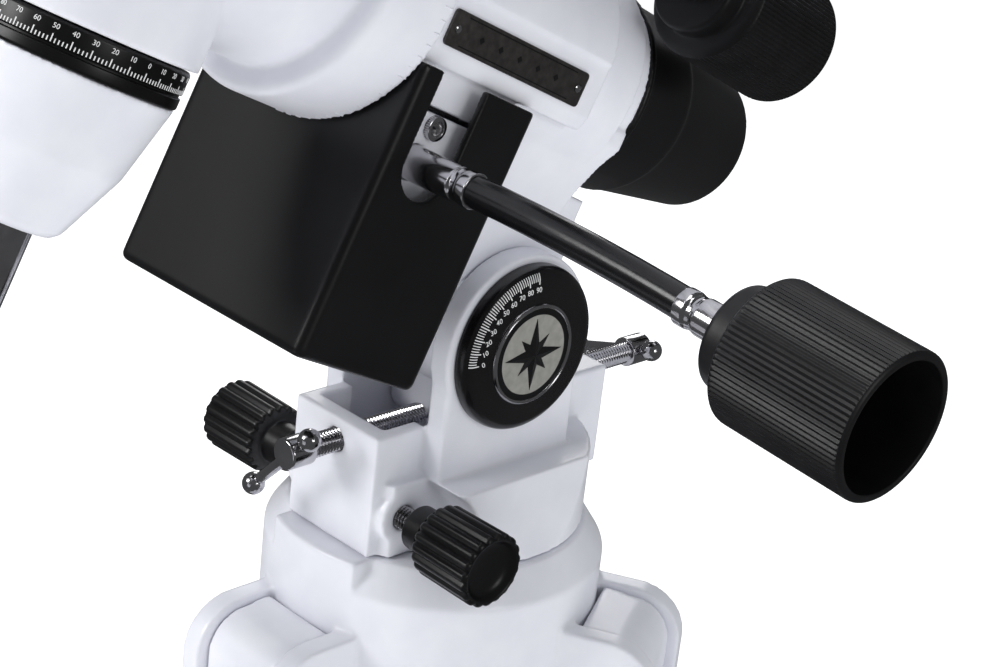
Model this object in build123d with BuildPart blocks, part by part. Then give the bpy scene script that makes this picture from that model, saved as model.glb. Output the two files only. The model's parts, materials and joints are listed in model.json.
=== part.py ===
from build123d import *
import os
from math import asin, atan2, cos, hypot, radians, sin

# Equatorial telescope on a field tripod.
# Millimetres, +Z up, +Y towards the pole, origin on the floor under the azimuth axis.

os.makedirs("parts", exist_ok=True)

# ---------------------------------------------------------------- driving dimensions
# fits
running_gap = 0.05        # a pin or shaft in its bore, on radius
sliding_gap = 0.3         # tube in tube, and faces that pass each other
seam_gap = 0.4            # turning faces
wall = 4.0                # cast walls

# tripod legs
leg_angle = 22.0          # degrees from vertical, deployed
hinge_radius = 70.0
hinge_drop = 60.0         # hinge below the tripod head's top
hinge_bolt_radius = 5.0
leg_tube_radius = 22.0
leg_tube_wall = 2.5
leg_tube_length = 560.0
leg_tube_start = 46.0     # below the hinge, along the leg
collar_radius = 27.5
collar_length = 52.0
foot_radius = 23.0
foot_socket = 18.0        # leg tube inside the foot
foot_length = 46.0
inner_leg_showing = 32.0  # between collar and foot
tongue_width = 31.0
cheek_thickness = 8.0

# braces and tray
hub_radius = 26.0
hub_height = 22.0
hub_rise = 150.0          # hub pivots above the collar pivots
brace_width = 16.0
brace_thickness = 4.0
tray_radius = 96.0
centre_rod_radius = 6.0

# tripod head
head_radius = 57.5
head_top_radius = 50.0
head_height = 55.0
shoulder_height = 11.0
bracket_top_drop = 25.5
bracket_reach = 86.0
bracket_height = 52.0
bracket_round = 17.0

# mount base
base_radius = 49.0
base_half_width = 40.5
base_height = 26.0
ear_inner = 20.5
ear_outer = 29.0
ear_half_width = 29.0
ear_round = 30.5
pivot_height = 68.0
block_half_width = 20.0
block_front = 48.7
block_rear = 58.0
block_top = 42.6
block_wall = 5.0
block_face_wall = 6.7
pocket_floor = 24.0
t_bolt_height = 34.5
bolt_radius = 4.0
azimuth_screw_y = 38.0
azimuth_screw_z = 14.0
azimuth_knob_radius = 12.5
azimuth_knob_length = 26.0
disc_radius = 28.0
disc_height = 7.0

# T bolts
t_head_radius = 5.25
t_head_length = 9.5
t_bar_radius = 1.9
t_ball_radius = 3.8
t_bar_span = 36.4         # ball centre to ball centre
front_bar_angle = -46.0   # degrees about the bolt, from east
rear_bar_angle = -18.0
front_bolt_out = 11.5     # bare thread outside the block
rear_bolt_out = 27.0

# polar (right ascension) axis
latitude = 25.7           # degrees, at rest
polar_offset = 84.5       # polar axis above the latitude pivot
barrel_radius = 42.0
barrel_front = 106.6
barrel_rear = 28.0
barrel_flat = 40.6        # flat for the name plate
inner_barrel_radius = 36.5
rear_ring_radius = 33.0
rear_ring_u = -2.0
pad_underside = 69.0
lug_rear = -12.0
lug_round = 23.0
lug_tip_drop = 33.5
lug_tip_radius = 8.0
tip_gap = 0.8             # T bolt tips off the lug
polar_shaft_radius = 14.0
flange_radius = 46.0
flange_length = 26.5
neck_radius = 38.0

# worm drives
worm_u = 87.5
worm_h = 40.6
worm_radius = 6.5
worm_wheel_radius = 37.0
worm_wheel_width = 12.0
worm_shaft_radius = 3.0

# motor cover
cover_half_width = 43.5
cover_front = 106.0
cover_rear = 53.5
cover_bottom = -23.0
cover_top = 68.0
cover_wall = 2.5
cover_gap = 0.5           # cover clear of what it goes round
slot_half_width = 10.0

# flexible control shafts and hand knobs
sleeve_radius = 4.8
ferrule_radius = 5.4
ferrule_length = 20.0
ferrule_seat = 9.0        # ferrule inside the casting at the worm's end
core_radius = 2.0
ra_shaft_length = 119.0   # from cover wall to knob
ra_shaft_sag = 5.6
hand_knob_radius = 21.0
hand_knob_length = 45.0
hand_knob_wall = 2.6
knob_collar_radius = 15.0
knob_collar_length = 9.0
dec_shaft_length = 150.0

# polar scope cover
polar_cover_radius = 31.6
polar_cover_step = 27.0
polar_cover_end_radius = 22.5
polar_cover_length = 76.0

# name plate
plate_length = 64.5
plate_height = 11.0
plate_thickness = 0.8

# declination axis
dec_u = 187.5
dec_housing_radius = 33.0
dec_housing_bottom = 39.5
dec_drum_radius = 46.0
dec_drum_bottom = 106.0
dec_drum_top = 142.0
dec_worm_x = -45.0
dec_worm_h = 127.0
dec_shaft_radius = 12.0
circle_radius = 31.5
circle_top = 39.0
circle_bottom = 28.0
cone_bottom = -17.0
cone_end_radius = 14.5
counter_shaft_radius = 9.5
counter_shaft_length = 250.0
counterweight_radius = 48.0
counterweight_length = 58.0
counterweight_drop = 170.0
toe_nut_radius = 15.0
toe_nut_seat = 8.0

# saddle, rings and optical tube
saddle_length = 110.0
saddle_width = 74.0
saddle_height = 20.0
dovetail_width = 44.0
dovetail_height = 15.0
dovetail_length = 300.0
ring_spacing = 210.0
ring_width = 24.0
ring_thickness = 8.0
tube_radius = 54.0
tube_wall = 2.0
tube_front = 500.0
tube_rear = -120.0
dew_radius = 64.0
dew_length = 190.0
dew_overlap = 40.0
lens_radius = 50.0
draw_radius = 26.0
draw_length = 150.0
draw_out = 60.0
focuser_length = 70.0
eyepiece_radius = 17.0

# ---------------------------------------------------------------- derived places
UP = Vector(0, 0, 1)
EAST = Vector(1, 0, 0)
tilt = radians(latitude)
POLAR = Vector(0, cos(tilt), sin(tilt))      # along the polar axis, up and north
NORMAL = Vector(0, -sin(tilt), cos(tilt))    # square to it, up
spread = radians(leg_angle)
tube_end = leg_tube_start + leg_tube_length
collar_start = tube_end - collar_length + 14.0
leg_reach = collar_start + collar_length + inner_leg_showing + foot_length
head_z = hinge_drop + leg_reach * cos(spread)
pivot = Vector(0, 0, head_z + pivot_height)
dovetail_h = dec_drum_top + saddle_height
ring_base = 6.0
lug_front = cover_rear - cover_gap
bay_rear = cover_rear + cover_wall + cover_gap


def polar_point(x, u, h):
    """Point at x east, u along the polar axis and h square to it, from the latitude pivot."""
    return pivot + EAST * x + POLAR * u + NORMAL * h


def polar_level(h, u=0.0, x=0.0):
    """Plane square to the declination axis at height h: x east, y along the polar axis."""
    return Plane(origin=polar_point(x, u, h), x_dir=EAST, z_dir=NORMAL)


def polar_cross(u, h=0.0, x=0.0):
    """Plane square to the polar axis: x west, y along the normal."""
    return Plane(origin=polar_point(x, u, h), x_dir=EAST * -1, z_dir=POLAR)


def polar_side(x, u=0.0, h=0.0):
    """Plane that faces east: x along the polar axis, y along the normal."""
    return Plane(origin=polar_point(x, u, h), x_dir=POLAR, z_dir=EAST)


def radial(k):
    a = radians(120 * k)
    return Vector(-sin(a), cos(a), 0)


def tangent(k):
    a = radians(120 * k)
    return Vector(cos(a), sin(a), 0)


def hinge_point(k):
    return radial(k) * hinge_radius + UP * (head_z - hinge_drop)


def leg_up(k):
    return UP * cos(spread) - radial(k) * sin(spread)


def leg_out(k):
    return radial(k) * cos(spread) + UP * sin(spread)


def leg_section(k, s):
    """Plane square to leg k, s below its hinge: x along the tangent."""
    return Plane(origin=hinge_point(k) - leg_up(k) * s, x_dir=tangent(k), z_dir=leg_up(k))


def leg_side(k, across=0.0):
    """Plane of leg k's side view, through its hinge: x outward, y up the leg."""
    return Plane(origin=hinge_point(k) + tangent(k) * across, x_dir=leg_out(k), z_dir=tangent(k))


def bracket_side(k, across=0.0):
    """Upright plane through leg k: x outward from the azimuth axis, y up from the head's top."""
    return Plane(origin=UP * head_z + tangent(k) * across, x_dir=radial(k), z_dir=tangent(k))


def write(builder, name):
    builder.part.label = name
    export_step(builder.part, f"parts/{name}.step")


socket_radius = leg_tube_radius + wall
socket_start = 30.0
socket_length = 46.0
inner_leg_radius = leg_tube_radius - leg_tube_wall - sliding_gap
inner_leg_overlap = 420.0
tongue_inset = 3.5
tongue_round = 14.0
clamp_rise = 7.0          # clamp screw above the collar's lower end
lug_drop = 14.0
lug_out = collar_radius + 14.0


def brace_pivot(k):
    """Where leg k's brace meets its collar, on the inner side."""
    s = collar_start + lug_drop
    return hinge_point(k) - leg_up(k) * s - leg_out(k) * lug_out


hub_z = brace_pivot(0).Z + hub_rise
brace_pin_radius = 3.0
ear_gap = brace_thickness / 2 + sliding_gap
inner_leg_wall = 2.0
hub_pivot_radius = hub_radius + brace_width / 2 + 1.5
brace_run = hypot(brace_pivot(0).X, brace_pivot(0).Y) - hub_pivot_radius
brace_length = hypot(brace_run, hub_rise)
brace_slope = atan2(hub_rise, brace_run)


def brace_side(k, across=0.0):
    """Upright plane along brace k from its hub pivot: x down the brace, y square to it."""
    down = radial(k) * cos(brace_slope) - UP * sin(brace_slope)
    start = radial(k) * hub_pivot_radius + UP * hub_z + tangent(k) * across
    return Plane(origin=start, x_dir=down, z_dir=tangent(k))


# ---------------------------------------------------------------- tripod head
peg_radius = 3.2
rod_seat = 16.0           # rod inside the tripod head
rod_bottom = hub_z - hub_height / 2 - 25.0
with BuildPart() as tripod_head:
    with BuildSketch(Plane.XZ):
        with BuildLine():
            Polyline((0, head_z), (head_top_radius, head_z), (head_radius, head_z - shoulder_height),
                     (head_radius, head_z - head_height), (head_radius - wall, head_z - head_height),
                     (head_radius - wall, head_z - rod_seat), (0, head_z - rod_seat), close=True)
        make_face()
    revolve(axis=Axis.Z)
    with BuildSketch(Plane.XY.offset(head_z - shoulder_height)):
        with Locations((0, head_radius / 2 + 14)):
            Rectangle(2 * block_half_width, head_radius - 28)
        Circle(head_radius, mode=Mode.INTERSECT)
    extrude(amount=shoulder_height)
    for k in range(3):
        for side in (-1, 1):
            start = tongue_width / 2 + cheek_thickness / 2 + sliding_gap
            with BuildSketch(bracket_side(k, side * start)):
                inner = head_radius - wall
                with Locations(((inner + bracket_reach) / 2, -bracket_top_drop - bracket_height / 2)):
                    Rectangle(bracket_reach - inner, bracket_height)
            extrude(amount=cheek_thickness / 2, both=True)
    outer_edges = []
    for k in range(3):
        corner = radial(k) * bracket_reach + UP * (head_z - bracket_top_drop)
        for edge in edges().filter_by(GeomType.LINE):
            middle = edge.center() - corner
            along = abs(middle.dot(tangent(k)))
            if along < bracket_reach / 2 and (middle - tangent(k) * middle.dot(tangent(k))).length < 0.1:
                outer_edges.append(edge)
    fillet(outer_edges, radius=bracket_round)
    for k in range(3):
        with BuildSketch(bracket_side(k)):
            with Locations((hinge_radius, -hinge_drop)):
                Circle(hinge_bolt_radius + running_gap)
        extrude(amount=tongue_width, both=True, mode=Mode.SUBTRACT)
    with Locations((0, 0, head_z)):
        Hole(radius=centre_rod_radius + running_gap, depth=rod_seat + 4)
    with BuildSketch(Plane.XY.offset(head_z - 10)):
        with Locations((0, azimuth_screw_y)):
            Circle(peg_radius)
    extrude(amount=10 + azimuth_screw_z + 7)
write(tripod_head, "tripod_head")

with BuildPart() as centre_rod:
    with BuildSketch(Plane.XY.offset(rod_bottom)):
        Circle(centre_rod_radius)
    extrude(amount=head_z - 1 - rod_bottom)
    with BuildSketch(Plane.XY.offset(head_z - rod_seat - 12)):
        RegularPolygon(radius=16, side_count=6)
    extrude(amount=12)
    with BuildSketch(Plane.XY.offset(rod_bottom)):
        Circle(12)
    extrude(amount=8)
write(centre_rod, "centre_rod")

with BuildPart() as leg_hinge_bolts:
    for k in range(3):
        half = tongue_width / 2 + sliding_gap + cheek_thickness
        with BuildSketch(bracket_side(k, -half)):
            with Locations((hinge_radius, -hinge_drop)):
                Circle(hinge_bolt_radius)
        extrude(amount=2 * half)
        for side in (-1, 1):
            with BuildSketch(bracket_side(k, side * half)):
                with Locations((hinge_radius, -hinge_drop)):
                    Circle(8.5)
            extrude(amount=side * 5)
write(leg_hinge_bolts, "leg_hinge_bolts")

# ---------------------------------------------------------------- legs
def make_leg(k):
    name = ("north", "west", "east")[k]
    with BuildPart() as casting:
        with BuildSketch(leg_side(k, -tongue_width / 2)):
            with Locations((0, -socket_start / 2 - 4)):
                Rectangle(26, socket_start + 8)
        extrude(amount=tongue_width)
        with BuildSketch(bracket_side(k, -tongue_width / 2)):
            inner = head_radius + seam_gap
            outer = bracket_reach - tongue_inset
            top = -bracket_top_drop - 1.0
            with BuildLine():
                Polyline((inner, -hinge_drop), (inner, top), (outer - tongue_round, top - 1.0))
                ThreePointArc((outer - tongue_round, top - 1.0),
                              (outer - 0.29 * tongue_round, top - 1.0 - 0.29 * tongue_round),
                              (outer, top - 1.0 - tongue_round))
                Polyline((outer, top - 1.0 - tongue_round), (outer, -hinge_drop), (inner, -hinge_drop))
            make_face()
        extrude(amount=tongue_width)
        with BuildSketch(leg_side(k, -tongue_width / 2)):
            Circle(hinge_radius - head_radius - seam_gap)
        extrude(amount=tongue_width)
        with BuildSketch(leg_section(k, socket_start)):
            Circle(socket_radius)
        extrude(amount=-socket_length)
        with BuildSketch(leg_section(k, leg_tube_start)):
            Circle(leg_tube_radius + running_gap)
        extrude(amount=-socket_length, mode=Mode.SUBTRACT)
        with BuildSketch(leg_side(k)):
            Circle(hinge_bolt_radius + running_gap)
        extrude(amount=tongue_width, both=True, mode=Mode.SUBTRACT)
        # the collar at the tube's lower end is a casting of its own
        with BuildSketch(leg_section(k, collar_start)):
            Circle(collar_radius)
        extrude(amount=-collar_length)
        for side in (-1, 1):
            with BuildSketch(leg_side(k, side * ear_gap)):
                with Locations((-(collar_radius + lug_out + 9) / 2 + 4, -collar_start - lug_drop)):
                    Rectangle(lug_out + 9 - collar_radius + 8, 18)
            extrude(amount=side * 5)
        with BuildSketch(leg_side(k)):
            with Locations((-lug_out, -collar_start - lug_drop)):
                Circle(brace_pin_radius)
        extrude(amount=ear_gap + 6, both=True, mode=Mode.SUBTRACT)
        with BuildSketch(leg_side(k)):
            with Locations((collar_radius, -collar_start - collar_length + clamp_rise)):
                Rectangle(18, 2 * clamp_rise)
        extrude(amount=9, both=True)
        with BuildSketch(leg_section(k, tube_end)):
            Circle(inner_leg_radius + sliding_gap)
        extrude(amount=-collar_length, mode=Mode.SUBTRACT)
        with BuildSketch(leg_section(k, collar_start)):
            Circle(leg_tube_radius + running_gap)
        extrude(amount=-(tube_end - collar_start), mode=Mode.SUBTRACT)
        knob_level = leg_section(k, collar_start + collar_length - clamp_rise)
        knob_plane = Plane(origin=knob_level.origin, x_dir=tangent(k), z_dir=leg_out(k))
        with BuildSketch(knob_plane):
            Circle(bolt_radius + running_gap)
        extrude(amount=collar_radius + 30, mode=Mode.SUBTRACT)
    write(casting, f"leg_castings_{name}")

    with BuildPart() as tube:
        with BuildSketch(leg_section(k, leg_tube_start)):
            Circle(leg_tube_radius)
            Circle(leg_tube_radius - leg_tube_wall, mode=Mode.SUBTRACT)
        extrude(amount=-leg_tube_length)
    write(tube, f"leg_tube_{name}")

    with BuildPart() as clamp_knob:
        with BuildSketch(knob_plane.offset(inner_leg_radius + sliding_gap)):
            Circle(bolt_radius)
        extrude(amount=collar_radius - inner_leg_radius + 14)
        with BuildSketch(knob_plane.offset(collar_radius + 10)):
            Circle(2 * bolt_radius)
        extrude(amount=6)
        with BuildSketch(knob_plane.offset(collar_radius + 16)):
            Circle(14)
            with PolarLocations(16, 5):
                Circle(4.5)
        extrude(amount=14)
    write(clamp_knob, f"leg_clamp_knob_{name}")

    # the rubber foot is pushed onto the inner leg tube
    foot_start = collar_start + collar_length + inner_leg_showing
    with BuildPart() as inner_leg:
        with BuildSketch(leg_section(k, foot_start - foot_socket)):
            Circle(foot_radius)
        extrude(amount=-(foot_length + 40))
        with BuildSketch(leg_section(k, foot_start - foot_socket)):
            Circle(inner_leg_radius + running_gap)
        extrude(amount=-foot_socket - running_gap, mode=Mode.SUBTRACT)
        split(bisect_by=Plane.XY, keep=Keep.TOP)
        with BuildSketch(leg_section(k, tube_end - inner_leg_overlap)):
            Circle(inner_leg_radius)
            Circle(inner_leg_radius - inner_leg_wall, mode=Mode.SUBTRACT)
        extrude(amount=-(foot_start - tube_end + inner_leg_overlap))
    write(inner_leg, f"inner_leg_{name}")

    with BuildPart() as brace:
        with BuildSketch(brace_side(k, -brace_thickness / 2)):
            with Locations((brace_length / 2, 0)):
                SlotCenterToCenter(brace_length, brace_width)
            Circle(brace_pin_radius + running_gap, mode=Mode.SUBTRACT)
            with Locations((brace_length, 0)):
                Circle(brace_pin_radius + sliding_gap, mode=Mode.SUBTRACT)
        extrude(amount=brace_thickness)
    write(brace, f"brace_{name}")


for k in range(3):
    make_leg(k)

with BuildPart() as brace_hub:
    with BuildSketch(Plane.XY.offset(hub_z - hub_height / 2)):
        Circle(hub_radius)
    extrude(amount=hub_height)
    for k in range(3):
        for side in (-1, 1):
            plane = Plane(origin=UP * hub_z + tangent(k) * side * ear_gap, x_dir=radial(k), z_dir=tangent(k))
            with BuildSketch(plane):
                with Locations((hub_pivot_radius - 8, 0)):
                    Rectangle(30, 16)
            extrude(amount=side * 4)
    for k in range(3):
        middle = Plane(origin=UP * hub_z, x_dir=radial(k), z_dir=tangent(k))
        with BuildSketch(middle):
            with Locations((hub_pivot_radius, 0)):
                Rectangle(brace_width + 6, brace_width + 8)
        extrude(amount=ear_gap, both=True, mode=Mode.SUBTRACT)
        with BuildSketch(middle):
            with Locations((hub_pivot_radius, 0)):
                Circle(brace_pin_radius)
        extrude(amount=ear_gap + 5, both=True)
    with BuildSketch(Plane.XY.offset(hub_z - hub_height)):
        Circle(centre_rod_radius + sliding_gap)
    extrude(amount=2 * hub_height, mode=Mode.SUBTRACT)
write(brace_hub, "brace_hub")

with BuildPart() as accessory_tray:
    tray_level = hub_z + hub_height / 2
    with BuildSketch(Plane.XY.offset(tray_level)):
        Circle(tray_radius)
    extrude(amount=6)
    with BuildSketch(Plane.XY.offset(tray_level + 3)):
        Circle(tray_radius - 3)
        Circle(centre_rod_radius + 8, mode=Mode.SUBTRACT)
    extrude(amount=3, mode=Mode.SUBTRACT)
    with BuildSketch(Plane.XY.offset(tray_level)):
        Circle(centre_rod_radius + sliding_gap)
    extrude(amount=6, mode=Mode.SUBTRACT)
write(accessory_tray, "accessory_tray")

# ---------------------------------------------------------------- mount base
base_z = head_z + seam_gap
bolt_z = head_z + t_bolt_height
screw_z = head_z + azimuth_screw_z
boss_height = 4.0
boss_radius = 9.0
collar_knob_radius = 7.5
peg_side = 3.0            # more room on the peg's south side
with BuildPart() as mount_base:
    with BuildSketch(Plane.XY.offset(base_z)):
        Circle(base_radius)
    extrude(amount=base_height - seam_gap)
    with BuildSketch(Plane.XZ):
        with BuildLine():
            Polyline((-base_radius, head_z), (base_radius, head_z),
                     (base_half_width, head_z + base_height), (base_half_width, head_z + 200),
                     (-base_half_width, head_z + 200), (-base_half_width, head_z + base_height), close=True)
        make_face()
    extrude(amount=base_radius + 1, both=True, mode=Mode.INTERSECT)
    for side in (-1, 1):
        with BuildSketch(Plane.YZ.offset(side * ear_inner)):
            with Locations((0, head_z + pivot_height)):
                Circle(ear_round)
            with Locations((0, head_z + (base_height + pivot_height) / 2 - 2)):
                Rectangle(2 * ear_half_width, pivot_height - base_height + 4)
        extrude(amount=side * (ear_outer - ear_inner))
    front = block_front - 20
    with BuildSketch(Plane.XY.offset(base_z)):
        with Locations((0, 20 + front / 2)):
            Rectangle(2 * block_half_width, front)
    extrude(amount=block_top - seam_gap)
    with BuildSketch(Plane.XY.offset(head_z + 6)):
        with Locations((0, -block_rear + 18)):
            Rectangle(2 * block_half_width - 6, 36)
    extrude(amount=block_top - 6)
    for side in (-1, 1):
        with BuildSketch(Plane.YZ.offset(side * block_half_width)):
            with Locations((azimuth_screw_y, screw_z)):
                Circle(boss_radius)
        extrude(amount=side * boss_height)
    # gap for the polar head's lug, open to both blocks
    with BuildSketch(Plane.XY.offset(head_z + pocket_floor)):
        Rectangle(2 * ear_inner, 2 * ear_half_width)
        with Locations((0, (block_front - block_face_wall) / 2)):
            Rectangle(2 * (block_half_width - block_wall), block_front - block_face_wall)
    extrude(amount=block_top - pocket_floor, mode=Mode.SUBTRACT)
    with BuildSketch(Plane.XY.offset(head_z)):
        with Locations((0, azimuth_screw_y - peg_side / 2)):
            Rectangle(2 * (block_half_width - block_wall), 2 * (block_front - block_face_wall - azimuth_screw_y) + peg_side)
    extrude(amount=block_top, mode=Mode.SUBTRACT)
    for side in (-1, 1):
        with BuildSketch(Plane.YZ.offset(side * (block_half_width + boss_height))):
            with Locations((azimuth_screw_y, screw_z)):
                Circle(azimuth_knob_radius + 2)
        extrude(amount=side * base_radius, mode=Mode.SUBTRACT)
    for side in (-1, 1):
        with BuildSketch(Plane.YZ.offset(side * (ear_inner - 2))):
            with Locations((0, head_z + pivot_height)):
                Circle(8 + running_gap)
        extrude(amount=side * 20, mode=Mode.SUBTRACT)
    with BuildSketch(Plane.XZ.offset(-base_radius - 20)):
        with Locations((0, bolt_z)):
            Circle(bolt_radius + running_gap)
    extrude(amount=2 * base_radius + 40, mode=Mode.SUBTRACT)
    with BuildSketch(Plane.YZ.offset(-block_half_width - 10)):
        with Locations((azimuth_screw_y, screw_z)):
            Circle(bolt_radius + running_gap)
    extrude(amount=2 * block_half_width + 20, mode=Mode.SUBTRACT)
write(mount_base, "mount_base")

with BuildPart() as latitude_pivot:
    with BuildSketch(Plane.YZ.offset(-ear_outer)):
        with Locations((0, head_z + pivot_height)):
            Circle(8)
    extrude(amount=2 * ear_outer)
write(latitude_pivot, "latitude_pivot")

with BuildPart() as latitude_disc:
    with BuildSketch(Plane(origin=(0, 0, head_z + pivot_height), x_dir=(0, 1, 0), z_dir=(0, 0, 1))):
        with BuildLine():
            face = ear_outer + disc_height
            Polyline((0, ear_outer), (disc_radius, ear_outer), (disc_radius, ear_outer + 1.6))
            ThreePointArc((disc_radius, ear_outer + 1.6), (disc_radius - 3.4, ear_outer + 4.9),
                          (disc_radius - 10, face))
            Polyline((disc_radius - 10, face), (0, face), (0, ear_outer))
        make_face()
    revolve(axis=Axis((0, 0, head_z + pivot_height), (1, 0, 0)))
write(latitude_disc, "latitude_disc")

with BuildPart() as pivot_cap:
    with BuildSketch(Plane.YZ.offset(ear_outer)):
        with Locations((0, head_z + pivot_height)):
            Circle(disc_radius)
    extrude(amount=disc_height)
    fillet(edges().sort_by(Axis.X)[-1], radius=disc_height - 2)
write(pivot_cap, "pivot_cap")


screw_tip = peg_radius + sliding_gap
thread_end = block_half_width + boss_height + 7
collar_end = thread_end + 9
with BuildPart() as azimuth_screws:
    for side in (-1, 1):
        with BuildSketch(Plane.YZ.offset(side * screw_tip)):
            with Locations((azimuth_screw_y, screw_z)):
                Circle(bolt_radius)
        extrude(amount=side * (thread_end - screw_tip))
        with BuildSketch(Plane.YZ.offset(side * thread_end)):
            with Locations((azimuth_screw_y, screw_z)):
                Circle(collar_knob_radius)
        extrude(amount=side * (collar_end - thread_end))
        with BuildSketch(Plane.YZ.offset(side * collar_end)):
            with Locations((azimuth_screw_y, screw_z)):
                Circle(azimuth_knob_radius)
        extrude(amount=side * azimuth_knob_length)
write(azimuth_screws, "azimuth_screws")


def make_t_bolt(side, tip, bare, angle, name):
    face = block_front if side > 0 else block_rear
    head_start = face + bare
    centre = head_start + t_head_length / 2
    across = Plane(origin=(0, side * centre, bolt_z), x_dir=(0, 1, 0),
                   z_dir=(cos(radians(angle)), 0, sin(radians(angle))))
    with BuildPart() as bolt:
        with BuildSketch(Plane(origin=(0, side * tip, bolt_z), x_dir=(1, 0, 0), z_dir=(0, side, 0))):
            Circle(bolt_radius)
        extrude(amount=head_start - tip)
        with BuildSketch(Plane(origin=(0, side * head_start, bolt_z), x_dir=(1, 0, 0), z_dir=(0, side, 0))):
            Circle(t_head_radius)
        extrude(amount=t_head_length)
        with BuildSketch(across.offset(-2 * t_head_radius)):
            Circle(t_bar_radius + running_gap)
        extrude(amount=4 * t_head_radius, mode=Mode.SUBTRACT)
    write(bolt, f"{name}_t_bolt")
    near = -(t_head_radius + t_ball_radius)
    with BuildPart() as bar:
        with BuildSketch(across.offset(near)):
            Circle(t_bar_radius)
        extrude(amount=t_bar_span)
        for end in (near, near + t_bar_span):
            with Locations(across.offset(end)):
                Sphere(t_ball_radius)
    write(bar, f"{name}_t_bar")


# the lug's sides taper from its round to its tip, so the bolts meet a slope
lug_taper = asin((lug_round - lug_tip_radius) / lug_tip_drop)
bolt_tip = (lug_tip_radius + bolt_radius * sin(lug_taper)) / cos(lug_taper) + tip_gap
make_t_bolt(1, bolt_tip, front_bolt_out, front_bar_angle, "front")
make_t_bolt(-1, bolt_tip, rear_bolt_out, rear_bar_angle, "rear")

# ---------------------------------------------------------------- polar head
lug_half_width = ear_inner - 0.5
scope_clear = polar_offset - rear_ring_radius - 1.6
tip_u = -lug_tip_drop * sin(tilt)
blend_half = 33.0
tip_h = -lug_tip_drop * cos(tilt)
cavity_half = worm_wheel_width / 2 + 2
carrier_half_width = 36.0
carrier_top = 56.0
carrier_bottom = 20.0
carrier_gap = 1.6
bay_front = cover_front - cover_wall - cover_gap
with BuildPart() as polar_housing:
    with BuildSketch(polar_cross(rear_ring_u, polar_offset)):
        Circle(rear_ring_radius)
    extrude(amount=8)
    with BuildSketch(polar_cross(rear_ring_u + 8, polar_offset)):
        Circle(inner_barrel_radius)
    extrude(amount=barrel_front - rear_ring_u - 8)
    with BuildSketch(polar_cross(barrel_rear, polar_offset)):
        Circle(barrel_radius)
        with Locations((0, -barrel_radius + (pad_underside - polar_offset + barrel_radius) / 2)):
            Rectangle(3 * barrel_radius, pad_underside - polar_offset + barrel_radius, mode=Mode.SUBTRACT)
    extrude(amount=barrel_front - barrel_rear)
    with BuildSketch(polar_side(-lug_half_width)):
        with BuildLine():
            Polyline((lug_rear, 44), (lug_rear, scope_clear), (rear_ring_u, scope_clear),
                     (rear_ring_u, polar_offset - 20), (bay_rear, polar_offset - 20), (bay_rear, 32),
                     (lug_round - 2, 8), (-lug_round + 6, 14), close=True)
        make_face()
    extrude(amount=2 * lug_half_width)
    with BuildSketch(polar_side(-lug_half_width)):
        Circle(lug_round)
        with Locations((tip_u, tip_h)):
            Circle(lug_tip_radius)
        with Locations(Location((tip_u / 2, tip_h / 2), -latitude)):
            Rectangle(2 * lug_tip_radius, lug_tip_drop)
    extrude(amount=2 * lug_half_width)
    with BuildSketch(polar_cross(rear_ring_u)):
        with BuildLine():
            Polyline((-blend_half, pad_underside + 6), (blend_half, pad_underside + 6), (blend_half, pad_underside))
            ThreePointArc((blend_half, pad_underside), (lug_half_width + 3, 50), (lug_half_width, 34))
            Line((lug_half_width, 34), (-lug_half_width, 34))
            ThreePointArc((-lug_half_width, 34), (-lug_half_width - 3, 50), (-blend_half, pad_underside))
            Line((-blend_half, pad_underside), (-blend_half, pad_underside + 6))
        make_face()
    extrude(amount=lug_front - rear_ring_u)
    with BuildSketch(polar_side(-carrier_half_width)):
        with Locations(((bay_rear + bay_front) / 2, (carrier_top + carrier_gap + pad_underside + 3) / 2)):
            Rectangle(bay_front - bay_rear, pad_underside + 3 - carrier_top - carrier_gap)
    extrude(amount=2 * carrier_half_width)
    with BuildSketch(polar_cross(rear_ring_u - 1, polar_offset)):
        Circle(polar_shaft_radius + running_gap)
    extrude(amount=barrel_front + 10, mode=Mode.SUBTRACT)
    with BuildSketch(polar_cross(worm_u - cavity_half, polar_offset)):
        Circle(worm_wheel_radius + 1.5)
    extrude(amount=2 * cavity_half, mode=Mode.SUBTRACT)
    with BuildSketch(polar_side(-ear_inner)):
        Circle(8 + running_gap)
    extrude(amount=2 * ear_inner, mode=Mode.SUBTRACT)
    for side in (-1, 1):
        with BuildSketch(polar_level(pad_underside, (barrel_front + barrel_rear) / 2)):
            with Locations((side * (barrel_flat + 10), 0)):
                Rectangle(20, barrel_front - barrel_rear + 2)
        extrude(amount=22, mode=Mode.SUBTRACT)
write(polar_housing, "polar_housing")

with BuildPart() as name_plate:
    with BuildSketch(polar_side(-barrel_flat)):
        with Locations((barrel_front - 5.5 - plate_length / 2, 80.5)):
            Rectangle(plate_length, plate_height)
    extrude(amount=-plate_thickness)
write(name_plate, "name_plate")

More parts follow.
